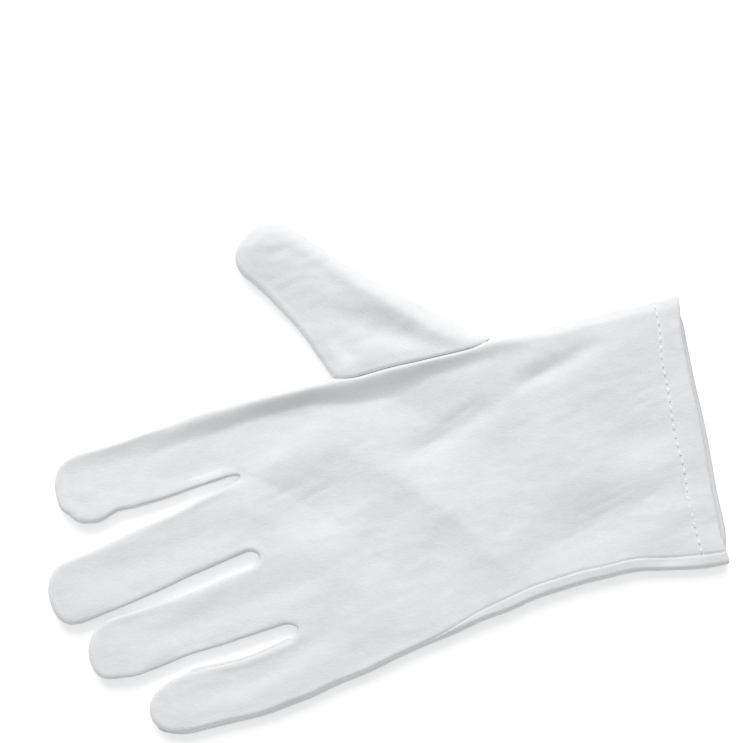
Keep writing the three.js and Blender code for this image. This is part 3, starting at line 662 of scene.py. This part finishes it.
def from_cuff(places):
    """Distance up from the slanted cuff: y + x * slant / width, as x is negative."""
    return places[..., 1] + places[..., 0] * CUFF_SLANT / CUFF_WIDTH


def to_core(places):
    """Unit vector, in the cross section, from each place to the nearest point of the core line."""
    width = hand_width(places[..., 1])
    x = np.clip(places[..., 0], -width + CORE_INSET, -CORE_INSET)
    step = np.stack([x - places[..., 0], np.zeros_like(x), CORE_HEIGHT - places[..., 2]], -1)
    return step / np.maximum(np.linalg.norm(step, axis=-1, keepdims=True), 1e-6)


def with_cuff_fold(v):
    """The rows of a panel with the fold's rows in front, and how far in each row is turned."""
    rest = v[v > FOLD_V[-1] + FOLD_GAP]
    return np.concatenate([FOLD_V, rest]), np.concatenate([FOLD_IN, np.zeros(len(rest))])


def turn_cuff(places, amount, d, side):
    """The fold itself, and the upper edge drawn back from the lower one, as the cloth lies slack there."""
    places = places + to_core(places) * amount[:, None, None]
    slip = (SLIP_BACK if side > 0 else SLIP_PALM) * smooth(d / SLIP_IN)
    places[..., 1] += slip * np.exp(-((from_cuff(places) / SLIP_OVER) ** 2))
    return places


print("the fold's rows lie in by", FOLD_IN.round(2), "mm")

# %% [markdown]
# ## Hem stitching, as the cloth shows it
# A row of stitches runs nine millimetres in from the cuff. It draws the cloth down in a shallow groove, and
# the double layer of the hem stands a little proud of the single layer beyond it. A bump would be quicker,
# but the real groove catches light and shows in the mesh.

# %% Hem line
HEM_AT, STITCH_PITCH = 9.1, 3.15
HEM_STAND, GROOVE, GROOVE_WIDTH, PUCKER, PUCKER_WIDTH = 0.2, 0.3, 0.9, 0.035, 1.9


def hem_line(x):
    """Distance of the stitches from the cuff's edge: 9.1 mm, wandering by a few tenths."""
    return HEM_AT + 0.35 * np.sin(x / 9.0) + 0.25 * np.sin(x / 4.1 + 1)


def hem_relief(places):
    """+0.2 mm over the double layer, -0.3 mm x exp(-(gap / 0.9 mm)^2) along the stitches, small puckers."""
    gap = from_cuff(places) - hem_line(places[..., 0])
    pucker = np.cos(2 * np.pi * (places[..., 0] + 3.1) / STITCH_PITCH) * np.exp(-((gap / PUCKER_WIDTH) ** 2))
    relief = HEM_STAND * (1 - smooth((gap + 0.6) / 1.2)) - GROOVE * np.exp(-((gap / GROOVE_WIDTH) ** 2))
    return relief - PUCKER * pucker


print("stitches from the cuff, mm:", hem_line(np.array([-5.0, -45.0, -90.0])).round(2))

# %% [markdown]
# ## The back
# One piece of jersey covers the back of the hand and the upper side of the four fingers. On the little finger
# side it stops short of the edge, where the palm's cloth comes round, and beside the thumb it is cut back for
# the thumb's seam. At both seams it dives, which draws the dark lines between the pieces.

# %% Back panel
SIDE_LIP, SIDE_LIP_LEAST, SIDE_LIP_TIP = 4.1, 0.8, 0.15
SEAM_DIVE, SIDE_DIVE, DIVE_WIDTH = 0.55, 0.35, 0.6


def side_lip(y, v):
    """How far the palm's cloth comes round on the little finger side, less up the hand and at the tip."""
    return mix(mix(SIDE_LIP, SIDE_LIP_LEAST, lip_fade(y)), SIDE_LIP_TIP, smooth(v - 2))


def thumb_lap(y):
    """How far the thumb's seam lies in from the index edge, 0 beyond the thumb."""
    return THUMB_LAP * hole_open(y, THUMB_ROUND)


def dive(gap, lap, full_lap):
    """exp(-(gap / 0.6)^2) along a seam, gone where the seam reaches the edge."""
    return np.exp(-((gap / DIVE_WIDTH) ** 2)) * smooth(lap / full_lap)


def back_place(lane, u, v):
    """Places of the back at pattern positions, with the distance in from the outline."""
    lip = side_lip(plan(lane, u, v)[..., 1], v)
    place = plan(lane, u, v, lip if lane == 3 else 0.0)
    d, inward = inset(place, v)
    lap = thumb_lap(place[..., 1]) * (v < 1) if lane == 0 else np.zeros_like(d)
    place[..., 0] -= lap * (1 - u) ** 3
    d = d + lap * (1 - u) ** 3
    rim = EDGE_HEIGHT + rim_rise(lane, u, v, place[..., 1], 1)
    height = upper_height(v, rim, d, place)
    if lane == 3:
        height -= SIDE_DIVE * dive(d - lip, lip, 1.5) * smooth((u - 0.6) / 0.3)
    if lane == 0:
        height -= SEAM_DIVE * dive(d - lap, lap, 1.2)
    open_edge = smooth(1 - lap)
    place = mix(place, tucked(place, height, rim, d, inward), open_edge[..., None])
    return with_height(place, height), d


def back_grid(lane):
    """A lane of the back, with the hem's relief and the cuff's fold."""
    v, amount = with_cuff_fold(LANE_V)
    u, v = lane_grid(lane, 40, v, EDGE_CROWD)
    places, d = back_place(lane, u, v)
    places[..., 2] += hem_relief(places) * smooth(d / 3)
    return turn_cuff(places, amount, d, 1)


add_cloth("glove_back", [back_grid(lane) for lane in range(4)], 1.0)

# %% [markdown]
# ## The palm
# The palm's cloth lies on the table. It turns up at every edge to meet the back, and on the little finger
# side it comes round over the back as a lip up to four millimetres wide, which ends in the side seam.

# %% Palm panel
PALM_ROWS = np.concatenate([1 - np.linspace(1, 0, 121) ** 1.2, 1 + np.linspace(0, 1, 45)[1:] ** 1.3,
                            2 + np.linspace(0, 1, 15)[1:]])
UNDER_SLACK = 0.35


def palm_grid(lane):
    """From the seam down to the table over 5 mm as a rolled edge, with a slight lift where it lies slack."""
    v, amount = with_cuff_fold(PALM_ROWS)
    u, v = lane_grid(lane, 30, v, PALM_CROWD)
    place = plan(lane, u, v)
    d, inward = inset(place, v)
    rim = EDGE_HEIGHT - rim_rise(lane, u, v, place[..., 1], -1)
    height = mix(rim, 0, round_over(d / UNDER_ROUND))
    height = height + UNDER_SLACK * np.maximum(ripple(place, SLACK), 0) * smooth((d - 3) / 6)
    moved = tucked(place, height, rim, d, inward)
    moved = moved + inward * (lean(lane, u, v) * clamp(1 - d / UNDER_ROUND))[..., None]
    by_lip = smooth((u - 0.75) / 0.15) if lane == 3 else np.zeros_like(u)
    place = mix(moved, place, by_lip[..., None])
    return turn_cuff(with_height(place, height), amount, d, -1)


def lip_grid():
    """The palm's cloth beyond the edge, up to the seam."""
    v, amount = with_cuff_fold(PALM_ROWS)
    share, v = np.meshgrid(np.linspace(0, 1, 13) ** 1.5, v)
    d = side_lip(plan(3, 1.0, v)[..., 1], v) * share
    place = plan(3, 1.0, v, d)
    return turn_cuff(with_height(place, upper_height(v, EDGE_HEIGHT, d, place)), amount, d, 1)


add_cloth("glove_palm", [palm_grid(lane) for lane in range(4)] + [lip_grid()], 1.0, over=True)

# %% [markdown]
# ## The side strips
# A strip about three millimetres high runs down one finger, round the fork and up the next, and gives the
# fingers their depth. It bulges between its two seams.

# %% Side strips
STRIP_WALL, STRIP_INSET, STRIP_STOP = 0.8, 0.3, 0.62  # STRIP_STOP: share of the finger's rounded end


def strip_grid(lane):
    """Stations along the fork's outline; across, from the lower to the upper seam, turned in at both."""
    v = np.concatenate([1 + np.linspace(0, 1, 60)[1:] ** 1.5, 2 + np.linspace(0, STRIP_STOP, 9)[1:]])
    path = np.concatenate([plan(lane, 1.0, v[::-1]), plan(lane, 1.0, 1.0)[None], plan(lane + 1, 0.0, v)])
    under = np.concatenate([lean(lane, 1.0, v[::-1]), [lean(lane, 1.0, 1.0)], lean(lane + 1, 0.0, v)])
    v = np.concatenate([v[::-1], [1.0], v])
    tangent = np.gradient(path, axis=0)
    inward = np.stack([-tangent[:, 1], tangent[:, 0]], -1) / np.linalg.norm(tangent, axis=1, keepdims=True)
    s = np.linspace(-1, 1, 9)
    height = EDGE_HEIGHT + strip_half(v)[:, None] * s
    depth = STRIP_INSET + (SEAM_TUCK - 0.2) * s**4 + under[:, None] * (1 - s) / 2
    return with_height(path[:, None] + inward[:, None] * depth[..., None], height)


STRIPS = ["index_middle", "middle_ring", "ring_little"]
for lane, pair in enumerate(STRIPS):
    add_cloth("strip_" + pair, [strip_grid(lane)], STRIP_WALL)

# %% [markdown]
# ## The thumb's pattern
# The thumb is a sleeve of its own, sewn into a hole in the index edge. Flat, it is a long tongue, turned 39
# degrees from straight out towards the fingers. It bows in a little at its waist and ends in a superellipse,
# as the fingers do.

# %% Thumb pattern
THUMB_LENGTH, THUMB_WIDTH, THUMB_TIP, THUMB_WAIST = 74.5, 24.5, 12.0, 1.6
THUMB_TURN = np.radians(39)
SEAM_GAP = 0.3
thumb_axis = np.array([np.cos(THUMB_TURN), np.sin(THUMB_TURN)])
THUMB_LINE = {
    "axis": thumb_axis, "across": np.array([-thumb_axis[1], thumb_axis[0]]), "half": THUMB_WIDTH / 2,
    "tip": THUMB_TIP, "square": 2.5,
    "end": np.array([SEAM_GAP, THUMB_AT]) + thumb_axis * (THUMB_LENGTH - THUMB_TIP),
}


def thumb_plan(u, v):
    """u from its outer side to the side next to the fingers, v 0 to 1 up the thumb, 1 to 2 round its end."""
    u, v = np.broadcast_arrays(u, v)
    t, end = np.minimum(v, 1), clamp(v - 1)
    waist = THUMB_WAIST * np.sin(np.pi * t)
    sides = []
    for sign in (-1, 1):
        root = np.array([SEAM_GAP / 2, THUMB_AT + sign * THUMB_BASE / 2])
        wide = sign * (t * THUMB_LINE["half"] - waist)
        sides.append(mix(root, THUMB_LINE["end"], t[..., None]) + wide[..., None] * THUMB_LINE["across"])
    shaft = mix(sides[0], sides[1], u[..., None])
    tip = rounded_end(THUMB_LINE, 2 * u - 1, end * TIP_TURN)
    return np.where(v[..., None] > 1, tip, shaft)


def thumb_outline():
    """Up the outer side, over the tip and down the side next to the fingers, so that left is inwards."""
    v = np.concatenate([np.linspace(0, 1, 60), 1 + np.linspace(0, 1, 50)[1:]])
    cap = thumb_plan(np.linspace(0, 1, 90)[1:], 2.0)
    return np.concatenate([thumb_plan(0.0, v), cap, thumb_plan(1.0, v[::-1])[1:]])


THUMB_OUTLINE = thumb_outline()
print("thumb's outline points:", len(THUMB_OUTLINE))

# %% [markdown]
# ## The thumb's sleeve
# Its upper side laps over the hand, dives into the seam, rises quickly to its fullest place and then falls
# towards the tip. One long ridge follows its outer edge, with a hollow beside it. Its lower side lies on the
# table.

# %% Thumb sleeve
THUMB_LOFT, THUMB_ROOT_LOFT, THUMB_INNER_LOFT, THUMB_TIP_SHARE = 8.2, 9.2, 5.8, 0.9
THUMB_FULLNESS, THUMB_CROWN, THUMB_SLACK, THUMB_CREPE = 0.7, 7.0, 0.22, 0.05
THUMB_FOLDS = [
    (2, (-1, 73, 3, 0), (3, 79, 3.5, 0.8), (11, 91, 4, 1.4), (22, 102.5, 4.2, 1.6), (33, 111.5, 4, 1.2),
        (44, 120, 4, 0.8), (54, 130, 3, 0)),
    (2, (28, 126, 4, 0), (21.5, 118, 4.5, -1.1), (13.5, 106, 5, -1.7), (8, 96.5, 4.5, -1.3), (4, 89, 3, 0)),
    (2, (4, 122, 2, 0), (8, 118, 3, -0.8), (13, 118, 3, -0.5), (18, 121, 3, 0)),
    (2, (40, 138, 3, 0), (47, 136, 3.5, -0.5), (53, 138, 3, 0)),
]


def thumb_upper(u, v, d, place, root):
    """Seam height at the root, then the rolled edge, folds and slack; the lap that draws it over the hand."""
    lap = thumb_lap(root[..., 1])
    at_seam = upper_height(root[..., 1] / PALM_LENGTH, EDGE_HEIGHT, lap, np.stack([-lap, root[..., 1]], -1))
    loft = mix(THUMB_ROOT_LOFT, THUMB_LOFT, smooth(v / 0.7)) * mix(1, THUMB_TIP_SHARE, smooth(v - 1))
    loft = mix(loft, THUMB_INNER_LOFT, smooth((u - 0.4) / 0.6) * smooth(v / 0.5))
    fullness = THUMB_FULLNESS * (1 - smooth(u / 0.5))
    full = EDGE_HEIGHT + rolled(d, loft - EDGE_HEIGHT, EDGE_HEIGHT, fullness, THUMB_CROWN)
    loose = fold_lift(place[..., 0], place[..., 1], THUMB_FOLDS)
    loose = loose + THUMB_SLACK * ripple(place, SLACK) + THUMB_CREPE * ripple(place, CREPE)
    height = mix(at_seam, full + loose * smooth(d / LOOSE_FROM), smooth(v / 0.17))
    height = height - SEAM_DIVE * dive(np.linalg.norm(place - root, axis=-1), lap, 1.2)
    return height, lap * (1 - smooth(v / 0.5))


def thumb_grid(side):
    """Upper (side 1) or lower (side -1) cloth of the thumb."""
    v = np.concatenate([np.linspace(0, 1, 84) ** 1.15, 2 - np.linspace(1, 0, 19)[1:] ** 0.9])
    s, v = np.meshgrid(np.linspace(0, 1, 47), v)
    u = mix((1 - np.cos(np.pi * s)) / 2, s, smooth((v - 1) / 0.7))
    place = thumb_plan(u, v)
    d, inward = nearest(THUMB_OUTLINE, place)
    d = np.where(v > TIP_EDGE - 1, 0.0, d)
    if side > 0:
        height, lapped = thumb_upper(u, v, d, place, thumb_plan(u, 0 * v))
        place[..., 0] -= lapped
    else:
        floor = mix(THUMB_ROOT_FLOOR, 0, smooth(v / 0.35))
        height = mix(EDGE_HEIGHT, floor, round_over(d / UNDER_ROUND))
    return with_height(tucked(place, height, EDGE_HEIGHT, d, inward), height)


add_cloth("glove_thumb", [thumb_grid(1), thumb_grid(-1)], 1.0, over=[False, True])

# %% [markdown]
# ## The hem
# Behind the folded edge the cloth goes on inside the hand for about a centimetre, as the second layer of the
# hem. It follows the panels just inside their own wall.

# %% Hem ring
HEM_DEPTH, HEM_GAP, HEM_WALL = 10.0, 1.15, 0.8
HEM_START = 0.0022  # first row, as a share of the palm


def hem_grids():
    """Rows of the back and of the palm near the cuff, moved towards the core by the wall and a small gap."""
    v = np.linspace(HEM_START, HEM_DEPTH / PALM_LENGTH, 14)
    rings = []
    for side in (1, -1):
        for lane in range(4):
            s, rows = np.meshgrid(np.linspace(0, 1, 22), v)
            place = plan(lane, s, rows)
            d, _ = nearest(OUTLINE, place)
            under = mix(EDGE_HEIGHT, 0, round_over(d / UNDER_ROUND))
            height = upper_height(rows, EDGE_HEIGHT, d, place) if side > 0 else under
            places = turn_cuff(with_height(place, height), np.zeros(len(v)), d, side)
            rings.append(places + to_core(places) * HEM_GAP)
    return rings


add_cloth("glove_hem", hem_grids(), HEM_WALL, over=[False] * 4 + [True] * 4)

# %% [markdown]
# ## The stitches
# The thread shows as short dashes, nearly two millimetres long and a little over three apart, which lie in
# the groove. Each is a slim capsule, partly sunk in the cloth. A dashed line in the material would be flat.

# %% Hem stitches
STITCH_LENGTH, THREAD, THREAD_LIFT = 1.8, 0.38, 0.25  # THREAD: half a stitch's width; the lift is in THREADs
STITCH_WANDER, LENGTH_SPREAD = 0.15, 0.1
STATIONS, SIDES = 9, 8
ROW_FROM, ROW_TO = -1.6, -92.5


def stitch_capsule():
    """A capsule along x: rings of radius (1 - s^4)^0.5, with a pinhole at either end."""
    s = np.linspace(-1, 1, STATIONS)
    turn = np.linspace(0, 2 * np.pi, SIDES + 1)[:-1]
    radius = np.sqrt(np.maximum(1 - s**4, 0.02))[:, None]
    along = np.repeat(s, SIDES).reshape(STATIONS, SIDES)
    rings = np.stack([along, radius * np.cos(turn), radius * np.sin(turn)], -1)
    i, j = np.meshgrid(np.arange(STATIONS - 1), np.arange(SIDES), indexing="ij")
    here, after, beside = i * SIDES, (i + 1) * SIDES, (j + 1) % SIDES
    quads = np.stack([here + j, here + beside, after + beside, after + j], -1)
    return rings.reshape(-1, 3), quads.reshape(-1, 4)


def stitch_line(count=400):
    """Places along the stitch row on the back, from the index edge to the side seam."""
    x = np.linspace(ROW_FROM, ROW_TO, count)
    y = hem_line(x) - x * CUFF_SLANT / CUFF_WIDTH
    place = np.stack([x, y], -1)
    d, _ = nearest(OUTLINE, place)
    places = with_height(place, upper_height(y / PALM_LENGTH, EDGE_HEIGHT, d, place))
    places[:, 2] += hem_relief(places) * smooth(d / 3)
    return turn_cuff(places[:, None], np.zeros(count), d[:, None], 1)[:, 0]


def unit(vectors):
    """Each vector over its own length."""
    return vectors / np.linalg.norm(vectors, axis=1, keepdims=True)


def add_stitches():
    """Capsules at equal steps along the row, turned along it, as one mesh."""
    line = stitch_line()
    run = np.concatenate([[0], np.cumsum(np.linalg.norm(np.diff(line, axis=0), axis=1))])
    at = np.arange(1.5, run[-1] - 1, STITCH_PITCH)
    at = at + seeded.uniform(-STITCH_WANDER, STITCH_WANDER, len(at))
    half = STITCH_LENGTH / 2 * seeded.uniform(1 - LENGTH_SPREAD, 1 + LENGTH_SPREAD, len(at))
    start, end = [np.stack([np.interp(at + sign * half, run, c) for c in line.T], -1) for sign in (-1, 1)]
    along = (end - start) / 2
    aside = unit(np.cross(along, [0, 0, 1.0]))
    upward = unit(np.cross(aside, along))
    shape, quads = stitch_capsule()
    places = (start + end)[:, None] / 2 + shape[None, :, :1] * along[:, None]
    places = places + THREAD * shape[None, :, 1:2] * aside[:, None]
    places = places + THREAD * (shape[None, :, 2:] + THREAD_LIFT) * upward[:, None]
    faces = quads[None] + len(shape) * np.arange(len(at))[:, None, None]
    add_piece("hem_stitches", places.reshape(-1, 3), faces.reshape(-1, 4), welded=False)
    print("stitches:", len(at))


add_stitches()

# %% [markdown]
# ## Cotton jersey
# The cloth is a matt, slightly cool white, softly napped on its outer side. Up close it shows fine
# lengthwise ribs, the nap's fuzz and faint cloudy patches. A photographed texture would need a flat layout of
# every piece. These patterns are procedural and read the object's own coordinates instead, so they stay with
# the cloth from every side. The ribs follow the thumb's grain through a turn in the mapping.

# %% Patterns of the cloth


def add_node(tree, kind, **values):
    """A node with its inputs or settings given by name."""
    node = tree.nodes.new(kind)
    for name, value in values.items():
        key = name.replace("_", " ")
        if key in node.inputs:
            node.inputs[key].default_value = value
        else:
            setattr(node, name, value)
    return node


def add_patterns(tree, turn):
    """Clouds and ribs on the turned grain, and a fuzz that is drawn out along it."""
    place = add_node(tree, "ShaderNodeTexCoord")
    turned = add_node(tree, "ShaderNodeMapping", Rotation=(0, 0, turn))
    drawn = add_node(tree, "ShaderNodeMapping", Scale=(1, 0.35, 1))
    cloud = add_node(tree, "ShaderNodeTexNoise", Scale=210.0, Detail=4.0, Roughness=0.6)
    fuzz = add_node(tree, "ShaderNodeTexNoise", Scale=1500.0, Detail=3.0, Roughness=0.7)
    ribs = add_node(tree, "ShaderNodeTexWave", Scale=330.0, Distortion=1.2, Detail=2.0, Detail_Scale=2.0)
    tree.links.new(place.outputs["Object"], turned.inputs["Vector"])
    for source, node in ((turned, drawn), (turned, cloud), (drawn, fuzz), (turned, ribs)):
        tree.links.new(source.outputs["Vector"], node.inputs["Vector"])
    return cloud.outputs["Fac"], fuzz.outputs["Fac"], ribs.outputs["Fac"]


print("patterns: clouds about", round(1000 / 210), "mm across, fuzz under", round(1000 / 1500, 1), "mm")

# %% [markdown]
# ## From patterns to a finish
# Colour follows the clouds and the fuzz by a few per cent. Bump comes from all three, the coarsest first. The
# rest is a rough shader with a little sheen, as napped cotton has.

# %% Finishes
MOTTLE, DARKER, LIGHTER = 0.45, 0.95, 1.03
SHADER = {"Roughness": 0.95, "Specular IOR Level": 0.2, "Sheen Weight": 0.25, "Sheen Roughness": 0.6}


def add_colour(tree, shade, cloud, fuzz):
    """The shade from 0.95 to 1.03 times itself, by a mix of clouds and fuzz."""
    mottle = add_node(tree, "ShaderNodeMix", data_type="FLOAT")
    mottle.inputs["Factor"].default_value = MOTTLE
    tree.links.new(cloud, mottle.inputs["A"])
    tree.links.new(fuzz, mottle.inputs["B"])
    ramp = add_node(tree, "ShaderNodeValToRGB")
    dark, light = ramp.color_ramp.elements
    dark.position, light.position = 0.3, 0.7
    dark.color = (*[c * DARKER for c in shade], 1)
    light.color = (*[min(c * LIGHTER, 1) for c in shade], 1)
    tree.links.new(mottle.outputs["Result"], ramp.inputs["Fac"])
    return ramp.outputs["Color"]


def add_bumps(tree, rib, cloud, fuzz, ribs):
    """Clouds, then fuzz, then ribs, each bump passing its normal on to the next. Distances in metres."""
    normal = None
    for height, strength, distance in ((cloud, 0.5, 0.0004), (fuzz, 0.55, 0.00018), (ribs, rib, 0.0001)):
        bump = add_node(tree, "ShaderNodeBump", Strength=strength, Distance=distance)
        tree.links.new(height, bump.inputs["Height"])
        if normal is not None:
            tree.links.new(normal, bump.inputs["Normal"])
        normal = bump.outputs["Normal"]
    return normal


def cotton(name, shade, turn=0.0, rib=0.06):
    """One finish of cotton: its shade, the turn of its grain and how strong its ribs are."""
    material = bpy.data.materials.new(name)
    material.use_nodes = True
    tree = material.node_tree
    shader = tree.nodes["Principled BSDF"]
    for key, value in SHADER.items():
        shader.inputs[key].default_value = value
    cloud, fuzz, ribs = add_patterns(tree, turn)
    tree.links.new(add_colour(tree, shade, cloud, fuzz), shader.inputs["Base Color"])
    tree.links.new(add_bumps(tree, rib, cloud, fuzz, ribs), shader.inputs["Normal"])
    return material


# Side strips and hem get a slightly darker white: painted shade, as they lie between the fingers and in the
# cuff.
WHITE, PAINTED_SHADE_WHITE, THREAD_WHITE = (0.80, 0.805, 0.82), (0.79, 0.795, 0.81), (0.93, 0.93, 0.935)
finishes = {
    "back_cotton": cotton("back_cotton", WHITE),
    "palm_cotton": cotton("palm_cotton", WHITE),
    # The strip and hem finishes take the darker white, which is painted shade.
    "strip_cotton": cotton("strip_cotton", PAINTED_SHADE_WHITE),
    "thumb_cotton": cotton("thumb_cotton", WHITE, turn=THUMB_TURN),
    "hem_cotton": cotton("hem_cotton", PAINTED_SHADE_WHITE),
    "thread": cotton("thread", THREAD_WHITE, rib=0.2),
}
print("finishes:", ", ".join(finishes))

# %% [markdown]
# ## What each piece stands for
# Every piece rides on the glove's one body, takes the place of its solid part, and wears the finish of the
# record. The back, the palm, the thumb and the hem are sheets of cloth. The side strips are under a
# centimetre wide, narrower than a sheet may be.

# %% Pieces and their parts
DRESSED = [
    ("glove_back", "back_panel", "back_cotton"),
    ("glove_palm", "palm_panel", "palm_cotton"),
    ("glove_thumb", "thumb", "thumb_cotton"),
    ("glove_hem", "cuff_hem", "hem_cotton"),
    ("strip_index_middle", "fourchette_index_middle", "strip_cotton"),
    ("strip_middle_ring", "fourchette_middle_ring", "strip_cotton"),
    ("strip_ring_little", "fourchette_ring_little", "strip_cotton"),
]
for name, node, slot in DRESSED:
    pieces[name].data.materials.append(finishes[slot])
    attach(pieces[name], "root")
    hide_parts(node)
pieces["hem_stitches"].data.materials.append(finishes["thread"])
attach(pieces["hem_stitches"], "root")

# %% [markdown]
# ## Table and light
# The glove lies on a plain white table under soft studio light. One large lamp stands beyond the thumb side,
# so that every fold shows a light and a dark flank. A second lamp above and a pale surround fill the shadows.

# %% Table and lamps
TABLE_HALF, TABLE_LEVEL = 3.0, -0.0002  # metres
TABLE_FINISH = {"Roughness": 0.9, "Specular IOR Level": 0.1, "Emission Strength": 0.3,
                "Base Color": (0.9, 0.9, 0.9, 1), "Emission Color": (1, 1, 1, 1)}
SURROUND, SURROUND_STRENGTH = (0.97, 0.985, 1.0, 1), 0.32


def add_table():
    """One large square, a fifth of a millimetre under the cloth, that glows a little, as a lit sweep does."""
    mesh = bpy.data.meshes.new("table")
    corners = [(x * TABLE_HALF, y * TABLE_HALF, TABLE_LEVEL) for x, y in ((-1, -1), (1, -1), (1, 1), (-1, 1))]
    mesh.from_pydata(corners, [], [(0, 1, 2, 3)])
    table = bpy.data.objects.new("table", mesh)
    bpy.context.scene.collection.objects.link(table)
    material = bpy.data.materials.new("table_white")
    material.use_nodes = True
    for key, value in TABLE_FINISH.items():
        material.node_tree.nodes["Principled BSDF"].inputs[key].default_value = value
    mesh.materials.append(material)


def add_lamp(name, place, size, power):
    """A square area lamp that points at the glove."""
    lamp = bpy.data.lights.new(name, "AREA")
    lamp.size, lamp.energy = size, power
    holder = bpy.data.objects.new(name, lamp)
    bpy.context.scene.collection.objects.link(holder)
    holder.location = place
    holder.rotation_euler = (-Vector(place)).to_track_quat("-Z", "Y").to_euler()


add_table()
add_lamp("key_lamp", (1.9, -0.2, 1.6), 2.4, 55)
add_lamp("top_lamp", (0.2, 0.3, 3.0), 3.2, 26)
world = bpy.data.worlds.new("surround")
world.use_nodes = True
world.node_tree.nodes["Background"].inputs["Color"].default_value = SURROUND
world.node_tree.nodes["Background"].inputs["Strength"].default_value = SURROUND_STRENGTH
bpy.context.scene.world = world
bpy.context.scene.view_settings.view_transform = "Standard"
